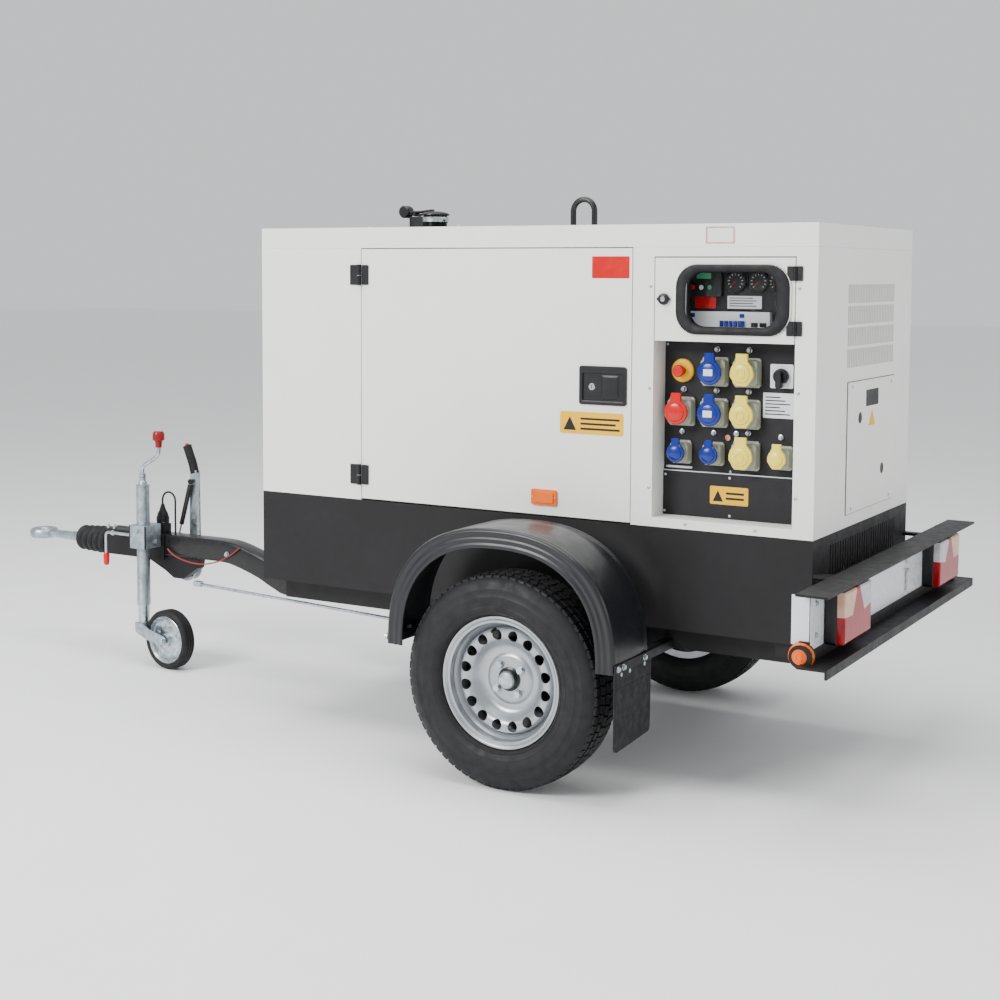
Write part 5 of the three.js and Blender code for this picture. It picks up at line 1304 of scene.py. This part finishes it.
def handbrake():
    low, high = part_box("handbrake_lever")
    pivot_x = low.x + 49.9 * MM
    pivot_z = 334 * MM
    top = pivot_z + 352 * MM
    y = 72 * MM
    lever = Shape()
    outline = [(-18, -20), (18, -22), (20, 40), (16, 352), (-12, 352), (-18, 40)]
    for y0, y1 in ((61, 64), (80, 83)):
        lever.slab([(pivot_x + u * MM, pivot_z + v * MM) for u, v in outline], "y", y0 * MM, y1 * MM)
    lever.slab([(pivot_x + u * MM, pivot_z + v * MM) for u, v in ((15, 0), (18, 0), (14, 350),
                                                                  (11, 350))], "y", 63 * MM,
               81 * MM)
    lever.turned("y", (pivot_x, 0, pivot_z), mm((9, 19), (44, 19), (45, 20), (45, 27), (30, 30), (30, 52),
                                                (44, 54), (44, 60), (9, 61.5)), 40, closed=True)
    for i in range(26):
        angle = math.radians(-60 + 11 * i)
        at_tooth = (pivot_x + 43.2 * MM * math.cos(angle), pivot_z + 43.2 * MM * math.sin(angle))
        lever.slab(circle(at_tooth, 3 * MM, 3, angle), "y", 20 * MM, 27 * MM)
    lever.bolt((pivot_x, 83 * MM, pivot_z), "y", 1, 15 * MM, 2.5 * MM)
    lever.bolt((pivot_x, 83 * MM, pivot_z + 60 * MM), "y", 1, 11 * MM, 2 * MM)
    lever.paint = 1
    grip = [(pivot_x + 1 * MM, y, top - 12 * MM), (pivot_x - 8 * MM, y, top + 22 * MM),
            (pivot_x - 22 * MM, y, top + 56 * MM), (pivot_x - 35 * MM, y, top + 87 * MM)]
    lever.sweep(smooth_line(grip, 5), rounded(-13 * MM, 13 * MM, -15 * MM, 15 * MM, 10 * MM, 5))
    lever.paint = 2
    lever.tube([(pivot_x - 30 * MM, y, top + 78 * MM), (pivot_x - 37 * MM, y, top + 94 * MM)], 7 * MM, 16,
               2)
    lever.piece("handbrake_lever_channel", "handbrake", (ZINC, SOFT_RUBBER, RED),
                replaces="handbrake_lever",
                edge=0.7 * MM, sharp=35)
    strut()


def strut():
    rod_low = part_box("strut_rod")[0]
    foot = Vector((rod_low.x + 9 * MM, 51 * MM, rod_low.z + 9 * MM))
    cyl_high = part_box("strut_cylinder")[1]
    head = Vector((cyl_high.x - 10 * MM, 51 * MM, cyl_high.z - 10 * MM))
    rod = Shape().tube([foot, foot.lerp(head, 0.35), foot.lerp(head, 0.74)], 3.6 * MM, 14, 2)
    rod.turned("y", foot, mm((0, -5.5), (9, -5.5), (9, 5.5), (0, 5.5)), 20)
    rod.piece("strut_rod_plated", "strut_rod", STEEL, replaces="strut_rod", sharp=35)
    cylinder = Shape().tube([foot.lerp(head, 0.345), foot.lerp(head, 0.6), foot.lerp(head, 0.95)],
                            8.4 * MM, 20, 2)
    cylinder.turned("y", head, mm((0, -6), (9.5, -6), (9.5, 6), (0, 6)), 20)
    cylinder.piece("strut_cylinder_painted", "strut_cylinder", GLOSS_BLACK, replaces="strut_cylinder",
                   sharp=35)


def parked_plug():
    low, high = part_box("parked_plug")
    x = (low.x + high.x) / 2
    shape = Shape()
    shape.slab(rounded(low.x + 0.5 * MM, high.x - 0.5 * MM, low.y + 0.5 * MM, high.y - 0.5 * MM, 6 * MM),
               "z", low.z,
               low.z + 33 * MM)
    shape.turned("z", (x, 0, low.z), [(0, 30 * MM), (23 * MM, 30 * MM), (23 * MM, 38 * MM),
                                      (21.5 * MM, 40 * MM),
                                      (21 * MM, 60 * MM), (18 * MM, 72 * MM), (13 * MM, 80 * MM),
                                      (11 * MM, 86 * MM),
                                      (8 * MM, 96 * MM), (5 * MM, high.z - low.z), (0, high.z - low.z)], 32)
    for i in range(10):
        angle = math.tau * i / 10
        rib = circle((x + 21.6 * MM * math.cos(angle), 21.6 * MM * math.sin(angle)), 1.6 * MM, 8)
        shape.slab(rib, "z", low.z + 40 * MM, low.z + 58 * MM)
    return shape.piece("plug_shell", "trailer", PLASTIC, replaces="parked_plug", edge=0.8 * MM)


# ---------------------------------------------------------------- jockey wheel
def jockey():
    low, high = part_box("jockey_stem")
    x, y = (low.x + high.x) / 2, (low.y + high.y) / 2
    stem = Shape().turned("z", (x, y, 0), [
        (20.3 * MM, low.z), (24 * MM, low.z), (24 * MM, low.z + 26 * MM), (23.2 * MM, low.z + 28 * MM),
        (23.2 * MM, high.z - 34 * MM), (24.5 * MM, high.z - 33 * MM), (24.5 * MM, high.z - 28 * MM),
        (16 * MM, high.z - 26 * MM), (14 * MM, high.z - 16 * MM), (11 * MM, high.z - 12 * MM),
                                           (11 * MM, high.z - 1 * MM),
        (9 * MM, high.z), (7.8 * MM, high.z), (7.8 * MM, high.z - 38 * MM),
                                           (20.3 * MM, high.z - 40 * MM)], 44, closed=True)
    stem.piece("jockey_stem_tube", "jockey_stem", GALVANISED, replaces="jockey_stem", sharp=35)
    crank(x, y, high.z)
    low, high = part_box("jockey_inner_tube")
    inner = Shape().turned("z", (x, y, 0), [(15.8 * MM, low.z), (19.6 * MM, low.z), (19.6 * MM, high.z),
                                            (15.8 * MM, high.z)], 40, closed=True)
    inner.piece("jockey_inner_steel", "jockey_inner", ZINC, replaces="jockey_inner_tube", sharp=35)
    jockey_fork(x, y)
    jockey_wheel(x, y)


def crank(x, y, base):
    low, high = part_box("jockey_crank")
    reach = 77 * MM
    shape = Shape().tube([(x, y, base - 9 * MM), (x, y, base + 26 * MM), (x + 6 * MM, y, base + 40 * MM),
                          (x + 34 * MM, y, base + 57 * MM), (x + reach - 10 * MM, y, base + 78 * MM),
                          (x + reach, y, base + 94 * MM), (x + reach, y, base + 116 * MM)], 6.8 * MM, 16, 6)
    shape.turned("z", (x, y, base), mm((0, 0.6), (12, 0.6), (12, 12), (9, 14), (0, 14)), 24)
    shape.paint = 1
    top = high.z - base
    shape.turned("z", (x + reach, y, base), [(0, 111 * MM), (11 * MM, 111 * MM), (12 * MM, 126 * MM),
                                             (14 * MM, 133 * MM),
                                             (20.5 * MM, 137 * MM), (21 * MM, 150 * MM),
                                             (20 * MM, 161 * MM),
                                             (16 * MM, top - 0.5 * MM), (0, top)], 32)
    shape.piece("jockey_crank_rod", "jockey_crank", (ZINC, DEEP_RED), replaces="jockey_crank", sharp=35)


def steered(x, y):
    return Matrix.Translation((x, y, 0)) @ Matrix.Rotation(math.radians(-6), 4, "Z")


def jockey_fork(x, y):
    shape = Shape()
    stations = ((-20, 116, 150, 19.9), (-8, 109, 150, 20.5), (10, 105, 149, 22), (30, 101, 147, 26),
                (50, 98, 142, 31),
                (66, 95, 137, 33), (100, 90, 128, 33), (125, 88, 122, 33), (140, 91, 119, 33),
                (149, 98, 112, 33))
    for side in (-1, 1):
        shape.rings([[(x_at * MM, side * y_at * MM, z_at * MM) for y_at, z_at in (
            (inside, low), (inside + 5.6, low), (inside + 5.6, high), (inside, high))]
            for x_at, low, high, inside in stations])
    shape.turned("z", (0, 0, 0), mm((0, 118), (19.7, 118), (19.7, 150), (0, 150)), 32)
    shape.paint = 1
    for side in (-1, 1):
        shape.bolt((135 * MM, side * 38.6 * MM, 105 * MM), "y", side, 17 * MM, 5 * MM)
    shape.turned("y", (135 * MM, 0, 105 * MM), mm((0, -39), (6.9, -39), (6.9, 39), (0, 39)), 20)
    shape.moved(steered(x, y)).piece("jockey_fork_steel", "jockey_fork", (GALVANISED, ZINC),
                                     replaces="jockey_fork",
                                     edge=1.2 * MM, sharp=35)


def jockey_wheel(x, y):
    """Solid rubber tyre with grooves on a pressed zinc disc."""
    centre = (135 * MM, 0, 105 * MM)
    wheel = Shape()
    half = [(80, 19), (84, 23.5), (92, 25.5), (98, 24.5), (102, 21.5), (104.6, 17), (104.8, 12.5),
            (103, 11.8), (103, 9.4),
            (104.8, 8.8), (105, 1.2), (103.2, 0.6), (103.2, 0)]
    profile = [(r * MM, h * MM) for r, h in half] + [(r * MM, -h * MM) for r, h in half[-2::-1]]
    wheel.turned("y", centre, profile, 72, closed=True)
    wheel.paint = 1
    disc = [(84, 22.6), (82, 24), (79, 21), (74, 17), (70, 11), (62, 8), (48, 8), (40, 12), (32, 13),
            (24, 13), (22, 24),
            (7.4, 26)]
    profile = [(r * MM, h * MM) for r, h in disc] + [(r * MM, -h * MM) for r, h in disc[::-1]]
    wheel.turned("y", centre, profile, 60, closed=True)
    wheel.paint = 2
    for i in range(5):
        angle = math.tau * (i + 0.3) / 5
        u, v = centre[0] + 54 * MM * math.cos(angle), centre[2] + 54 * MM * math.sin(angle)
        for side in (-1, 1):
            wheel.turned("y", (u, 0, v), [(0, side * 7.5 * MM), (13 * MM, side * 7.5 * MM),
                                          (11 * MM, side * 11 * MM),
                                          (4 * MM, side * 12.5 * MM), (0, side * 12.5 * MM)], 24)
    wheel.moved(steered(x, y)).piece("jockey_wheel_tyred", "jockey_wheel", (SOFT_RUBBER, ZINC, ZINC),
                                     replaces="jockey_wheel", sharp=30)


# ---------------------------------------------------------------- stage
def stage():
    floor = bpy.data.meshes.new("floor")
    floor.from_pydata([(-40, -40, 0), (40, -40, 0), (40, 40, 0), (-40, 40, 0)], [], [(0, 1, 2, 3)])
    plane = bpy.data.objects.new("floor", floor)
    n = Nodes("pale_floor", "white_paint")
    n.link(n.ramp(n.noise(3), (0.90, 0.90, 0.90), (0.92, 0.92, 0.92)), n.shader.inputs["Base Color"])
    n.shader.inputs["Roughness"].default_value = 0.6
    floor.materials.append(n.material)
    scene.collection.objects.link(plane)
    world = bpy.data.worlds.new("studio")
    scene.world = world
    world.use_nodes = True
    world.node_tree.nodes["Background"].inputs["Color"].default_value = (0.96, 0.98, 1.0, 1)
    world.node_tree.nodes["Background"].inputs["Strength"].default_value = 0.85
    softbox("key", (-2.2, -6.5, 4.6), (0.2, 0, 0.8), 3.2, 2.6, 620)
    softbox("top", (0.4, -0.6, 5.2), (0.4, 0, 0), 4.5, 3.0, 260)
    softbox("rear_fill", (6.5, -0.5, 2.6), (1.0, 0, 0.8), 2.4, 2.0, 60)


def softbox(name, place, aim, width, height, power):
    data = bpy.data.lights.new(name, "AREA")
    data.shape = "RECTANGLE"
    data.size, data.size_y, data.energy = width, height, power
    lamp_object = bpy.data.objects.new(name, data)
    lamp_object.location = place
    lamp_object.rotation_euler = (Vector(aim) - Vector(place)).to_track_quat("-Z", "Y").to_euler()
    scene.collection.objects.link(lamp_object)


# ---------------------------------------------------------------- the whole
dress_frame()
parked_plug()
plug_lead()
breakaway_cable()
for word, side in SIDES:
    tyre(word, side)
    rim(word, side)
    brake_drum(word, side)
    mudguard(word, side)
    door_furniture(word, side)
    lamp(word, side)
screws()
control_door_trim()
rear_face()
instruments()
for lid_name in LIDS:
    socket(lid_name)
panel_controls()
lifting_eye()
exhaust()
light_board()
drawbar()
tow_eye()
bellows()
coupling_details()
clamp_handle()
handbrake()
jockey()
stage()
